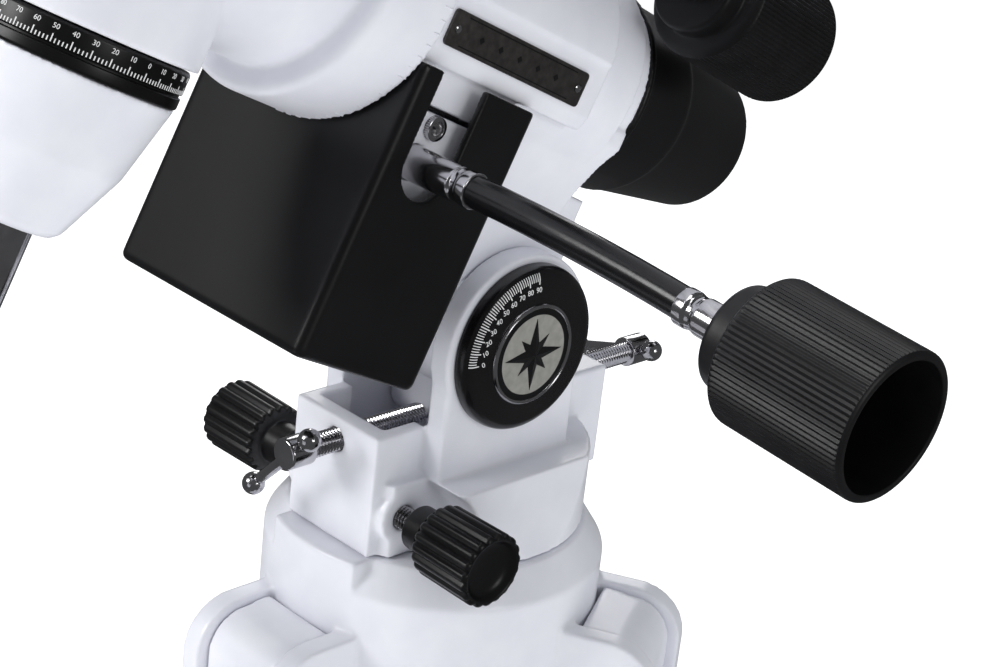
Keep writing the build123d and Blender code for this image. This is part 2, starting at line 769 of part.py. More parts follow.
with BuildPart() as worm_carrier:
    with BuildSketch(polar_side(-carrier_half_width)):
        with Locations(((bay_front + bay_rear) / 2, (carrier_top + carrier_bottom) / 2)):
            Rectangle(bay_front - bay_rear, carrier_top - carrier_bottom)
    extrude(amount=2 * carrier_half_width)
    with BuildSketch(polar_side(-carrier_half_width)):
        with Locations((worm_u, worm_h)):
            Circle(worm_shaft_radius + 2.2)
    extrude(amount=2 * carrier_half_width, mode=Mode.SUBTRACT)
    with BuildSketch(polar_side(-12.4)):
        with Locations((worm_u, worm_h)):
            Circle(worm_radius + 1)
    extrude(amount=24.8, mode=Mode.SUBTRACT)
    with BuildSketch(polar_cross(bay_rear - 1, polar_offset)):
        Circle(inner_barrel_radius + sliding_gap)
    extrude(amount=barrel_front, mode=Mode.SUBTRACT)
    with BuildSketch(polar_cross(worm_u - cavity_half, polar_offset)):
        Circle(worm_wheel_radius + 1.5)
    extrude(amount=2 * cavity_half, mode=Mode.SUBTRACT)
    with BuildSketch(polar_side(-carrier_half_width - 1)):
        with Locations((worm_u, worm_h)):
            Circle(ferrule_radius + running_gap)
    extrude(amount=1 + ferrule_seat, mode=Mode.SUBTRACT)
write(worm_carrier, "worm_carrier")

with BuildPart() as motor_cover:
    with BuildSketch(polar_level(cover_bottom)):
        with Locations((0, (cover_front + cover_rear) / 2)):
            Rectangle(2 * cover_half_width, cover_front - cover_rear)
        fillet(vertices(), radius=3)
    extrude(amount=cover_top - cover_bottom)
    fillet(edges().group_by(Axis(tuple(pivot), tuple(NORMAL)))[0], radius=2.4)
    with BuildSketch(polar_level(cover_bottom + cover_wall)):
        with Locations((0, (cover_front + cover_rear) / 2)):
            Rectangle(2 * (cover_half_width - cover_wall), cover_front - cover_rear - 2 * cover_wall)
    extrude(amount=cover_top - cover_bottom, mode=Mode.SUBTRACT)
    with BuildSketch(polar_cross(cover_rear - 1, (carrier_bottom + cover_top) / 2 - 4)):
        Rectangle(2 * (ear_inner + 1), cover_top - carrier_bottom + 24)
    extrude(amount=cover_wall + 2, mode=Mode.SUBTRACT)
    with BuildSketch(polar_cross(cover_rear - 1, polar_offset)):
        Circle(inner_barrel_radius + cover_gap)
    extrude(amount=cover_wall + 2, mode=Mode.SUBTRACT)
    with BuildSketch(polar_side(-cover_half_width - 1)):
        with Locations((worm_u, worm_h)):
            Circle(slot_half_width)
        with Locations((worm_u, worm_h + cover_top / 2)):
            Rectangle(2 * slot_half_width, cover_top)
    extrude(amount=cover_wall + 2, mode=Mode.SUBTRACT)
    with BuildSketch(polar_cross(cover_front - cover_wall - 1, polar_offset)):
        Circle(inner_barrel_radius + 6)
    extrude(amount=cover_wall + 2, mode=Mode.SUBTRACT)
write(motor_cover, "motor_cover")

with BuildPart() as polar_scope_cover:
    cover_base = polar_cross(rear_ring_u, polar_offset)
    with BuildSketch(Plane(origin=cover_base.origin, x_dir=EAST, z_dir=EAST.cross(POLAR))):
        with BuildLine():
            r1 = polar_cover_radius
            r2 = polar_cover_end_radius
            mid = -polar_cover_step
            end = -polar_cover_length
            Polyline((polar_shaft_radius + 2, 0), (rear_ring_radius + 0.6, 0), (rear_ring_radius + 0.6, -2.4),
                     (r1, -3.2), (r1 - 0.6, mid), (r1 - 1.4, mid - 0.8), (r2 + 2, end + 5), (r2 - 3, end),
                     (0, end), (0, end + 3), (r2 - 5, end + 3), (r1 - 4, mid), (r1 - 3.6, -6),
                     (polar_shaft_radius + 2, -6), close=True)
        make_face()
    revolve(axis=Axis(tuple(cover_base.origin), tuple(POLAR)))
write(polar_scope_cover, "polar_scope_cover")


def make_worm(plane, length, stub, name):
    """Worm on its shaft, centred on the plane, with a stub for the control shaft towards +z."""
    with BuildPart() as worm:
        with BuildSketch(plane.offset(-length / 2)):
            Circle(worm_radius - 0.5)
        extrude(amount=length)
        with BuildSketch(plane.offset(-length / 2 - 14)):
            Circle(worm_shaft_radius)
        extrude(amount=length / 2 + 14 + stub)
    write(worm, name)


worm_centre = polar_point(0, worm_u, worm_h)
ra_worm_plane = Plane(origin=worm_centre, x_dir=POLAR, z_dir=EAST * -1)
ferrule_start = carrier_half_width - ferrule_seat
make_worm(ra_worm_plane, 24, ferrule_start + 8, "ra_worm")


def sagging_path(plane, start, length, sag):
    """Points of a stiff shaft that leaves the plane square and droops under its knob."""
    down = UP * -1
    along = plane.z_dir
    points = []
    for share in (0, 0.34, 0.68, 1.0):
        points.append(plane.origin + along * (start + length * share) + down * (sag * share ** 2))
    return points


def make_control_shaft(plane, start, length, sag, name):
    """Ferrule, sleeved shaft and ferrule, then the hand knob on the shaft's end."""
    points = sagging_path(plane, start + ferrule_length, length - ferrule_length, sag)
    with BuildPart() as shaft:
        with BuildSketch(plane.offset(start)):
            Circle(ferrule_radius)
        extrude(amount=ferrule_length)
        with BuildSketch(plane.offset(start)):
            Circle(worm_shaft_radius + running_gap)
        extrude(amount=ferrule_seat, mode=Mode.SUBTRACT)
        with BuildLine():
            FilletPolyline(*points, radius=4 * length)
        with BuildSketch(Plane(origin=points[0], x_dir=plane.x_dir, z_dir=points[1] - points[0])):
            Circle(sleeve_radius)
        sweep()
        last = points[-1] - points[-2]
        end = Plane(origin=points[-1], x_dir=plane.x_dir, z_dir=last)
        with BuildSketch(end.offset(-ferrule_length + 2)):
            Circle(ferrule_radius)
        extrude(amount=ferrule_length - 2)
    write(shaft, f"{name}_control_shaft")
    knob_at = end.offset(seam_gap)
    with BuildPart() as knob:
        with BuildSketch(knob_at):
            Circle(knob_collar_radius)
        extrude(amount=knob_collar_length)
        with BuildSketch(knob_at.offset(knob_collar_length - 1)):
            Circle(hand_knob_radius)
        extrude(amount=hand_knob_length)
        fillet(edges().filter_by(GeomType.CIRCLE).sort_by(SortBy.RADIUS)[-1], radius=1.2)
        with BuildSketch(knob_at.offset(knob_collar_length + 5)):
            Circle(hand_knob_radius - hand_knob_wall)
        extrude(amount=hand_knob_length, mode=Mode.SUBTRACT)
    write(knob, f"{name}_hand_knob")
    return knob_at


ra_knob = make_control_shaft(ra_worm_plane, ferrule_start, ra_shaft_length + cover_half_width - ferrule_start,
                             ra_shaft_sag, "ra")

# ---------------------------------------------------------------- declination head
flange_start = barrel_front + seam_gap
dec_worm_half = 15.0
with BuildPart() as dec_housing:
    with BuildSketch(polar_cross(flange_start, polar_offset)):
        Circle(flange_radius)
    extrude(amount=flange_length)
    fillet(edges().filter_by(GeomType.CIRCLE).sort_by(Axis(tuple(pivot), tuple(POLAR)))[-1], radius=3)
    with BuildSketch(polar_cross(flange_start + flange_length - 4, polar_offset)):
        Circle(neck_radius)
    extrude(amount=dec_u - flange_start - flange_length + 4)
    with BuildSketch(polar_level(dec_housing_bottom, dec_u)):
        Circle(dec_housing_radius)
    extrude(amount=dec_drum_bottom - dec_housing_bottom)
    with BuildSketch(polar_level(dec_drum_bottom, dec_u)):
        Circle(dec_drum_radius)
        with Locations((dec_worm_x, 0)):
            Rectangle(2 * dec_worm_half, 60)
    extrude(amount=dec_drum_top - dec_drum_bottom - seam_gap)
    with BuildSketch(polar_level(dec_housing_bottom - 1, dec_u)):
        Circle(dec_shaft_radius + running_gap)
    extrude(amount=dec_drum_top, mode=Mode.SUBTRACT)
    with BuildSketch(polar_level(dec_worm_h - worm_wheel_width / 2 - 2, dec_u)):
        Circle(worm_wheel_radius + 1.5)
    extrude(amount=worm_wheel_width + 4, mode=Mode.SUBTRACT)
    with BuildSketch(polar_cross(dec_u - 31, dec_worm_h, dec_worm_x)):
        Circle(worm_shaft_radius + 2.2)
    extrude(amount=62, mode=Mode.SUBTRACT)
    with BuildSketch(polar_cross(dec_u - 12.4, dec_worm_h, dec_worm_x)):
        Circle(worm_radius + 1)
    extrude(amount=24.8, mode=Mode.SUBTRACT)
    with BuildSketch(polar_cross(dec_u - 31, dec_worm_h, dec_worm_x)):
        Circle(ferrule_radius + 1.2)
    extrude(amount=12, mode=Mode.SUBTRACT)
write(dec_housing, "dec_housing")

with BuildPart() as polar_shaft:
    with BuildSketch(polar_cross(rear_ring_u + 2, polar_offset)):
        Circle(polar_shaft_radius)
    extrude(amount=flange_start - rear_ring_u - 2)
    with BuildSketch(polar_cross(worm_u - worm_wheel_width / 2, polar_offset)):
        Circle(worm_wheel_radius)
    extrude(amount=worm_wheel_width)
write(polar_shaft, "polar_shaft")

dec_worm_plane = Plane(origin=polar_point(dec_worm_x, dec_u, dec_worm_h), x_dir=EAST, z_dir=POLAR * -1)
make_worm(dec_worm_plane, 24, 30, "dec_worm")
make_control_shaft(dec_worm_plane, 22, dec_shaft_length, 2.5, "dec")

# ---------------------------------------------------------------- declination axis
shaft_bottom = cone_bottom + 20
with BuildPart() as dec_shaft:
    with BuildSketch(polar_level(shaft_bottom, dec_u)):
        Circle(dec_shaft_radius)
    extrude(amount=dec_drum_top - shaft_bottom)
    with BuildSketch(polar_level(dec_worm_h - worm_wheel_width / 2, dec_u)):
        Circle(worm_wheel_radius)
    extrude(amount=worm_wheel_width)
write(dec_shaft, "dec_shaft")

with BuildPart() as setting_circle:
    with BuildSketch(polar_level(circle_bottom, dec_u)):
        Circle(circle_radius)
        Circle(dec_shaft_radius + running_gap, mode=Mode.SUBTRACT)
    extrude(amount=circle_top - circle_bottom)
    with BuildSketch(polar_level(circle_bottom + 3.6, dec_u)):
        Circle(circle_radius + 1)
        Circle(circle_radius - 0.8, mode=Mode.SUBTRACT)
    extrude(amount=0.8, mode=Mode.SUBTRACT)
write(setting_circle, "setting_circle")

with BuildPart() as shaft_base:
    cone_side = Plane(origin=polar_point(0, dec_u, 0), x_dir=EAST, z_dir=EAST.cross(NORMAL))
    with BuildSketch(cone_side):
        with BuildLine():
            Polyline((0, circle_bottom), (circle_radius - 0.5, circle_bottom), (circle_radius - 2, circle_bottom - 6),
                     (circle_radius - 6, 5), (cone_end_radius + 2, cone_bottom + 2),
                     (cone_end_radius - 0.5, cone_bottom), (0, cone_bottom), close=True)
        make_face()
    revolve(axis=Axis(tuple(cone_side.origin), tuple(NORMAL)))
    with BuildSketch(polar_level(shaft_bottom, dec_u)):
        Circle(dec_shaft_radius)
    extrude(amount=circle_bottom - shaft_bottom, mode=Mode.SUBTRACT)
    with BuildSketch(polar_level(cone_bottom, dec_u)):
        Circle(counter_shaft_radius)
    extrude(amount=12, mode=Mode.SUBTRACT)
write(shaft_base, "shaft_base")

shaft_tip = cone_bottom + 12 - counter_shaft_length
with BuildPart() as counterweight_shaft:
    # the toe nut on the shaft's end is a piece of its own
    with BuildSketch(polar_level(shaft_tip + toe_nut_seat, dec_u)):
        Circle(toe_nut_radius)
        Circle(counter_shaft_radius + running_gap, mode=Mode.SUBTRACT)
    extrude(amount=-toe_nut_seat)
    with BuildSketch(polar_level(shaft_tip - running_gap, dec_u)):
        Circle(toe_nut_radius)
    extrude(amount=-4)
    with BuildSketch(polar_level(shaft_tip, dec_u)):
        Circle(toe_nut_radius)
        Circle(counter_shaft_radius + running_gap, mode=Mode.SUBTRACT)
    extrude(amount=-running_gap)
    with BuildSketch(polar_level(cone_bottom + 12, dec_u)):
        Circle(counter_shaft_radius)
    extrude(amount=-counter_shaft_length)
write(counterweight_shaft, "counterweight_shaft")

weight_top = cone_bottom - counterweight_drop + counterweight_length
with BuildPart() as counterweight:
    with BuildSketch(polar_level(weight_top, dec_u)):
        Circle(counterweight_radius)
        Circle(counter_shaft_radius + sliding_gap, mode=Mode.SUBTRACT)
    extrude(amount=-counterweight_length)
    ends = edges().filter_by(GeomType.CIRCLE).filter_by(lambda e: abs(e.radius - counterweight_radius) < 0.1)
    fillet(ends, radius=5)
    weight_knob_plane = Plane(origin=polar_point(0, dec_u, weight_top - counterweight_length / 2), x_dir=POLAR,
                              z_dir=EAST * -1)
    with BuildSketch(weight_knob_plane):
        Circle(bolt_radius + running_gap)
    extrude(amount=counterweight_radius + 5, mode=Mode.SUBTRACT)
write(counterweight, "counterweight")

with BuildPart() as counterweight_knob:
    with BuildSketch(weight_knob_plane.offset(counter_shaft_radius + sliding_gap)):
        Circle(bolt_radius)
    extrude(amount=counterweight_radius - counter_shaft_radius + 4)
    with BuildSketch(weight_knob_plane.offset(counterweight_radius + 2)):
        Circle(13)
    extrude(amount=15)
write(counterweight_knob, "counterweight_knob")

# ---------------------------------------------------------------- saddle, rings and tube
foot_half = dovetail_width / 2
channel_depth = dovetail_height - 3
with BuildPart() as saddle:
    with BuildSketch(polar_level(dec_drum_top, dec_u)):
        Rectangle(saddle_width, saddle_length)
        fillet(vertices(), radius=8)
    extrude(amount=saddle_height + channel_depth)
    with BuildSketch(polar_cross(dec_u - saddle_length, dovetail_h)):
        with BuildLine():
            Polyline((-foot_half - 0.2, 0), (foot_half + 0.2, 0), (foot_half - 5, channel_depth + 1),
                     (-foot_half + 5, channel_depth + 1), close=True)
        make_face()
    extrude(amount=2 * saddle_length, mode=Mode.SUBTRACT)
    with BuildSketch(polar_side(0, dec_u, dovetail_h + channel_depth / 2)):
        Circle(bolt_radius + running_gap)
    extrude(amount=saddle_width, mode=Mode.SUBTRACT)
write(saddle, "saddle")

with BuildPart() as saddle_knob:
    saddle_screw = polar_side(0, dec_u, dovetail_h + channel_depth / 2)
    with BuildSketch(saddle_screw.offset(foot_half + 0.2)):
        Circle(bolt_radius)
    extrude(amount=saddle_width / 2 - foot_half + 3)
    with BuildSketch(saddle_screw.offset(saddle_width / 2 + 2)):
        Circle(12)
    extrude(amount=16)
write(saddle_knob, "saddle_knob")

with BuildPart() as dovetail_bar:
    with BuildSketch(polar_cross(dec_u - dovetail_length / 2, dovetail_h)):
        with BuildLine():
            Polyline((-foot_half, 0.1), (foot_half, 0.1), (foot_half - 6, dovetail_height),
                     (-foot_half + 6, dovetail_height), close=True)
        make_face()
    extrude(amount=dovetail_length)
write(dovetail_bar, "dovetail_bar")

ring_inner = tube_radius + running_gap
ring_outer = tube_radius + ring_thickness
tube_axis_h = dovetail_h + dovetail_height + ring_base + ring_outer
with BuildPart() as tube_rings:
    for side in (-1, 1):
        with BuildSketch(polar_cross(dec_u + side * ring_spacing / 2 - ring_width / 2, tube_axis_h)):
            Circle(ring_outer)
            with Locations((0, -ring_outer + 4)):
                Rectangle(30, 2 * (ring_base + 4))
            with Locations((ring_outer + 5, 0)):
                Rectangle(16, 14)
            with Locations((-ring_outer - 5, 0)):
                Rectangle(16, 14)
            Circle(ring_inner, mode=Mode.SUBTRACT)
        extrude(amount=ring_width)
write(tube_rings, "tube_rings")

with BuildPart() as optical_tube:
    with BuildSketch(polar_cross(tube_rear, tube_axis_h)):
        Circle(tube_radius)
        Circle(tube_radius - tube_wall, mode=Mode.SUBTRACT)
    extrude(amount=tube_front - tube_rear)
write(optical_tube, "optical_tube")

with BuildPart() as dew_shield:
    with BuildSketch(polar_cross(tube_front - dew_overlap, tube_axis_h)):
        Circle(dew_radius)
        Circle(tube_radius, mode=Mode.SUBTRACT)
    extrude(amount=dew_overlap)
    with BuildSketch(polar_cross(tube_front, tube_axis_h)):
        Circle(dew_radius)
        Circle(dew_radius - 3, mode=Mode.SUBTRACT)
    extrude(amount=dew_length)
write(dew_shield, "dew_shield")

with BuildPart() as objective_lens:
    with BuildSketch(polar_cross(tube_front - 12, tube_axis_h)):
        Circle(tube_radius - tube_wall)
    extrude(amount=11)
write(objective_lens, "objective_lens")

with BuildPart() as focuser:
    with BuildSketch(polar_cross(tube_rear, tube_axis_h)):
        Circle(tube_radius)
        Circle(draw_radius + sliding_gap, mode=Mode.SUBTRACT)
    extrude(amount=-12)
    with BuildSketch(polar_cross(tube_rear, tube_axis_h)):
        Circle(tube_radius - tube_wall)
        Circle(draw_radius + sliding_gap, mode=Mode.SUBTRACT)
    extrude(amount=12)
    with BuildSketch(polar_cross(tube_rear - 12, tube_axis_h)):
        Circle(draw_radius + 8)
        with Locations((0, -draw_radius - 6)):
            Rectangle(44, 26)
        Circle(draw_radius + sliding_gap, mode=Mode.SUBTRACT)
    extrude(amount=-focuser_length)
    with BuildSketch(polar_side(-30, tube_rear - 12 - focuser_length / 2, tube_axis_h - draw_radius - 10)):
        Circle(4 + running_gap)
    extrude(amount=60, mode=Mode.SUBTRACT)
write(focuser, "focuser")

knob_out = draw_radius + 10.0
with BuildPart() as focus_knobs:
    focus_axle = polar_side(0, tube_rear - 12 - focuser_length / 2, tube_axis_h - draw_radius - 10)
    with BuildSketch(focus_axle.offset(-knob_out - 6)):
        Circle(4)
    extrude(amount=2 * knob_out + 12)
    for side in (-1, 1):
        with BuildSketch(focus_axle.offset(side * knob_out)):
            Circle(19)
        extrude(amount=side * 18)
write(focus_knobs, "focus_knobs")

draw_end = tube_rear - 12 - focuser_length - draw_out
with BuildPart() as draw_tube:
    with BuildSketch(polar_cross(draw_end, tube_axis_h)):
        Circle(draw_radius)
        Circle(draw_radius - 2, mode=Mode.SUBTRACT)
    extrude(amount=draw_length)
    with BuildSketch(polar_cross(draw_end, tube_axis_h)):
        Circle(draw_radius + 4)
        Circle(draw_radius - 2, mode=Mode.SUBTRACT)
    extrude(amount=16)
write(draw_tube, "draw_tube")

diagonal_size = 46.0
with BuildPart() as star_diagonal:
    with BuildSketch(polar_cross(draw_end, tube_axis_h)):
        Circle(draw_radius - 2.05)
    extrude(amount=20)
    with BuildSketch(polar_side(-diagonal_size / 2, draw_end, tube_axis_h)):
        with BuildLine():
            half = diagonal_size / 2
            Polyline((0, -half), (0, half), (-diagonal_size, half), (-diagonal_size, 0), (-half, -half), close=True)
        make_face()
    extrude(amount=diagonal_size)
    with BuildSketch(polar_level(tube_axis_h + half, draw_end - half)):
        Circle(eyepiece_radius + 3)
    extrude(amount=20)
    with BuildSketch(polar_level(tube_axis_h + half - 10, draw_end - half)):
        Circle(15.9 + running_gap)
    extrude(amount=30, mode=Mode.SUBTRACT)
write(star_diagonal, "star_diagonal")

with BuildPart() as eyepiece:
    with BuildSketch(polar_level(tube_axis_h + half - 6, draw_end - half)):
        Circle(15.9)
    extrude(amount=26)
    with BuildSketch(polar_level(tube_axis_h + half + 20, draw_end - half)):
        Circle(eyepiece_radius + 3)
    extrude(amount=34)
    with BuildSketch(polar_level(tube_axis_h + half + 54, draw_end - half)):
        Circle(eyepiece_radius + 2)
    extrude(amount=10)
write(eyepiece, "eyepiece")
print("head", head_z, "hub", hub_z, "knob plane", ra_knob.origin, ra_knob.z_dir, "tube axis", tube_axis_h)
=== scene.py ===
import json
from math import cos, hypot, pi, radians, sin, sqrt

import bmesh
import bpy
from bpy.props import FloatProperty, FloatVectorProperty, IntProperty, PointerProperty, StringProperty
from mathutils import Matrix, Vector


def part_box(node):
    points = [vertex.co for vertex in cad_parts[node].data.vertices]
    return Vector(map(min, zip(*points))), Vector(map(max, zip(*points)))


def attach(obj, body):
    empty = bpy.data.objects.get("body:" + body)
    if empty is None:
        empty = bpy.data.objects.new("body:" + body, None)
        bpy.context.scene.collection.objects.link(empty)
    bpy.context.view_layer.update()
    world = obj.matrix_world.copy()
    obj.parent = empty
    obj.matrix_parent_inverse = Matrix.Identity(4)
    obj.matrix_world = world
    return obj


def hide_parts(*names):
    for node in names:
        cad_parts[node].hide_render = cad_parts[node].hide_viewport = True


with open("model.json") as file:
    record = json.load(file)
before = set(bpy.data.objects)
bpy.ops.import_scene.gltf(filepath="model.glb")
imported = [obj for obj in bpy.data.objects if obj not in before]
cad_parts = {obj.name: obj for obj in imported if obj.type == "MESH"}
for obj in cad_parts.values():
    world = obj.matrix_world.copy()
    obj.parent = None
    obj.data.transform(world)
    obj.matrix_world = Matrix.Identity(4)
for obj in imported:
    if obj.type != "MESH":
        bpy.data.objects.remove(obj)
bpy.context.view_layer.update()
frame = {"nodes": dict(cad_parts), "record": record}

bl_info = {
    "name": "Equatorial Telescope",
    "version": (1, 0, 0),
    "blender": (4, 5, 0),
    "location": "View3D > Sidebar > Telescope",
    "description": "Surfaces, scales and small fittings of a telescope on its equatorial mount and tripod",
    "category": "Object",
}

MM = 0.001
RECORD = frame["record"]["behaviour"]
JOINTS = {joint["name"]: joint for joint in RECORD["joints"]}
BODY_OF = {node: body for body, nodes in RECORD["bodies"].items() for node in nodes}
UP = Vector((0, 0, 1))
EAST = Vector((1, 0, 0))
NORTH = Vector((0, 1, 0))
POLAR = Vector(JOINTS["right_ascension"]["axis"])
NORMAL = Vector(JOINTS["declination"]["axis"])
PIVOT = Vector(JOINTS["latitude"]["pos_m"])
HEAD_TOP = JOINTS["azimuth"]["pos_m"][2]
DEC_U = (Vector(JOINTS["declination"]["pos_m"]) - PIVOT).dot(POLAR) / MM
POLAR_H = (Vector(JOINTS["right_ascension"]["pos_m"]) - PIVOT).dot(NORMAL) / MM
LEGS = ("north", "west", "east")
BRACKET_SIDE = 24.2       # outside of a leg bracket from its middle, with room for a washer
BALL = 3.8                # radius of the balls on the T bars
BAR_SPAN = 36.4           # from ball to ball
BOLT_HEAD = 5.25          # radius of the T bolts' heads


# ---------------------------------------------------------------- places
def at(x, u, h):
    """Point x east, u along the polar axis and h square to it from the latitude pivot, in millimetres."""
    return PIVOT + EAST * x * MM + POLAR * u * MM + NORMAL * h * MM


def span(node, axis, origin=None):
    """How far the node reaches along an axis from an origin, lowest and highest, in millimetres."""
    start = origin or Vector((0, 0, 0))
    reach = [(v.co - start).dot(axis) / MM for v in frame["nodes"][node].data.vertices]
    return min(reach), max(reach)


def placing(origin, z, x=None):
    """Matrix of a place: its z along the piece, its x towards the given side."""
    z = Vector(z).normalized()
    side = Vector(x) if x else (EAST if abs(z.dot(EAST)) < 0.9 else UP)
    side = (side - z * side.dot(z)).normalized()
    ahead = z.cross(side)
    return Matrix((
        (side.x, ahead.x, z.x, origin[0]),
        (side.y, ahead.y, z.y, origin[1]),
        (side.z, ahead.z, z.z, origin[2]),
        (0, 0, 0, 1)))


# ---------------------------------------------------------------- materials
def linear(code):
    """Linear colour of an sRGB hex code."""
    parts = [int(code[i:i + 2], 16) / 255 for i in (1, 3, 5)]
    return [c / 12.92 if c <= 0.04045 else ((c + 0.055) / 1.055) ** 2.4 for c in parts] + [1.0]


def add(tree, kind, settings=None, **inputs):
    """Adds a node with its settings, and its inputs as values or links."""
    node = tree.nodes.new(kind)
    for key, value in (settings or {}).items():
        setattr(node, key, value)
    for key, value in inputs.items():
        socket = node.inputs[int(key[1:])] if key[0] == "_" else node.inputs[key.replace("_", " ")]
        if isinstance(value, bpy.types.NodeSocket):
            tree.links.new(value, socket)
        else:
            socket.default_value = value
    return node


def surface(name, **values):
    """A material with its principled shader, and where patterns start: object coordinates."""
    material = bpy.data.materials.get(name)
    if material:
        return material, None, None, None
    material = bpy.data.materials.new(name)
    material.use_nodes = True
    tree = material.node_tree
    shader = tree.nodes["Principled BSDF"]
    for key, value in values.items():
        shader.inputs[key.replace("_", " ")].default_value = value
    place = add(tree, "ShaderNodeTexCoord").outputs["Object"]
    return material, tree, shader, place


def per_mm(size):
    """Noise scale whose lumps are this many millimetres across."""
    return 1 / (size * MM)


def mottled(tree, shader, place, dark, light, size, detail=4.0):
    """Colour that drifts a little between two shades over patches of a size in millimetres."""
    noise = add(tree, "ShaderNodeTexNoise", Vector=place, Scale=per_mm(size), Detail=detail)
    ramp = add(tree, "ShaderNodeValToRGB", Fac=noise.outputs["Fac"])
    ramp.color_ramp.elements[0].position = 0.3
    ramp.color_ramp.elements[0].color = linear(dark)
    ramp.color_ramp.elements[1].position = 0.7
    ramp.color_ramp.elements[1].color = linear(light)
    tree.links.new(ramp.outputs["Color"], shader.inputs["Base Color"])


def grained(tree, shader, place, size, depth, strength=1.0, low=0.0, high=0.0):
    """Bump from noise lumps of a size and depth in millimetres, and a roughness that follows them."""
    noise = add(tree, "ShaderNodeTexNoise", Vector=place, Scale=per_mm(size), Detail=2.0)
    bump = add(tree, "ShaderNodeBump", Height=noise.outputs["Fac"], Strength=strength, Distance=depth * MM)
    tree.links.new(bump.outputs["Normal"], shader.inputs["Normal"])
    if high:
        spread = add(tree, "ShaderNodeMapRange", Value=noise.outputs["Fac"], To_Min=low, To_Max=high)
        tree.links.new(spread.outputs["Result"], shader.inputs["Roughness"])


def powder_coated_aluminium():
    # Die-cast aluminium under baked white powder: an even white with the coat's faint orange peel, and a
    # blue-lavender tint painted in that stands for the cool cast of the studio light.
    material, tree, shader, place = surface("powder_coated_aluminium", IOR=1.5, Coat_Weight=0.25,
                                            Coat_Roughness=0.2)
    if tree:
        # the blue-lavender tint of both shades is painted light: the studio light's cool cast, not the coat's
        # own colour
        mottled(tree, shader, place, "#E3E4ED", "#ECEDF4", 18.0)
        grained(tree, shader, place, 1.6, 0.035, 0.5, 0.3, 0.42)
    return material


def stove_enamel():
    # Steel tube with smooth white stove enamel: glossier and flatter than the powder coat.
    material, tree, shader, place = surface("stove_enamel", IOR=1.5, Coat_Weight=0.5, Coat_Roughness=0.08)
    if tree:
        mottled(tree, shader, place, "#E9E9F0", "#F1F1F5", 40.0)
        grained(tree, shader, place, 6.0, 0.02, 0.3, 0.16, 0.24)
    return material


def satin_abs():
    # Injection-moulded black ABS with a fine spark-eroded texture: soft, wide highlights.
    material, tree, shader, place = surface("satin_abs", IOR=1.5, Specular_IOR_Level=0.4)
    if tree:
        mottled(tree, shader, place, "#0B0B0D", "#111113", 30.0)
        grained(tree, shader, place, 0.5, 0.02, 0.35, 0.3, 0.4)
    return material


def gloss_abs():
    # Smooth-moulded black ABS: glossier than the covers, it shows the lamps as soft shapes.
    material, tree, shader, place = surface("gloss_abs", IOR=1.5, Specular_IOR_Level=0.5)
    if tree:
        mottled(tree, shader, place, "#0D0C0E", "#131214", 25.0)
        grained(tree, shader, place, 3.0, 0.008, 0.3, 0.2, 0.28)
    return material


def ribbed_nylon():
    # Glass-filled black nylon: duller than ABS, with a dry bloom on the ribs.
    material, tree, shader, place = surface("ribbed_nylon", IOR=1.5, Specular_IOR_Level=0.35)
    if tree:
        mottled(tree, shader, place, "#0C0C0E", "#141416", 9.0)
        grained(tree, shader, place, 0.8, 0.02, 0.4, 0.36, 0.5)
    return material


def pvc_sleeve():
    # Soft black PVC drawn over the shaft: a wet gloss with shallow drawing marks.
    material, tree, shader, place = surface("pvc_sleeve", IOR=1.5, Specular_IOR_Level=0.5)
    if tree:
        mottled(tree, shader, place, "#08080A", "#0D0D0F", 12.0)
        grained(tree, shader, place, 4.0, 0.04, 0.4, 0.18, 0.28)
    return material


def chrome_plate():
    # Bright chrome on turned steel: sharp reflections with a trace of the lathe's marks.
    material, tree, shader, place = surface("chrome_plate", Metallic=1.0)
    if tree:
        mottled(tree, shader, place, "#B4B3B6", "#C6C5C8", 8.0)
        grained(tree, shader, place, 0.6, 0.006, 0.4, 0.08, 0.2)
    return material


def stainless_steel():
    # Belt-brushed stainless tube: fine lines along the tube widen its highlight.
    material, tree, shader, place = surface("stainless_steel", Metallic=0.6)
    if tree:
        mottled(tree, shader, place, "#B4B6B8", "#C8C9CB", 30.0)
        grained(tree, shader, place, 0.7, 0.01, 0.5, 0.22, 0.36)
    return material


def satin_aluminium():
    # Brushed and clear-anodised aluminium plate: pale, with short brushed streaks.
    material, tree, shader, place = surface("satin_aluminium", Metallic=0.45)
    if tree:
        mottled(tree, shader, place, "#A9A8A2", "#BDBCB6", 3.0)
        stretch = add(tree, "ShaderNodeMapping", Vector=place)
        stretch.inputs["Scale"].default_value = (1, 0.06, 1)
        grained(tree, shader, stretch.outputs["Vector"], 0.5, 0.01, 0.6, 0.26, 0.42)
    return material


def smoked_aluminium():
    # Dark brushed plate: aluminium under a smoked lacquer, with short brushed streaks.
    material, tree, shader, place = surface("smoked_aluminium", Metallic=0.8)
    if tree:
        mottled(tree, shader, place, "#4A4746", "#5C5957", 2.5)
        stretch = add(tree, "ShaderNodeMapping", Vector=place)
        stretch.inputs["Scale"].default_value = (1, 0.06, 1)
        grained(tree, shader, stretch.outputs["Vector"], 0.5, 0.01, 0.6, 0.3, 0.46)
    return material


def black_anodised():
    # Turned aluminium, black anodised: a metal's tight highlight under a dark, slightly warm film.
    material, tree, shader, place = surface("black_anodised", Metallic=0.6, IOR=1.5)
    if tree:
        mottled(tree, shader, place, "#0D0D0F", "#151517", 10.0)
        grained(tree, shader, place, 0.4, 0.01, 0.4, 0.28, 0.4)
    return material


def ground_steel():
    # Ground and oiled steel: a grey metal with an uneven film.
    material, tree, shader, place = surface("ground_steel", Metallic=1.0)
    if tree:
        mottled(tree, shader, place, "#8C8D90", "#A5A6A8", 6.0)
        grained(tree, shader, place, 0.5, 0.01, 0.5, 0.25, 0.4)
    return material


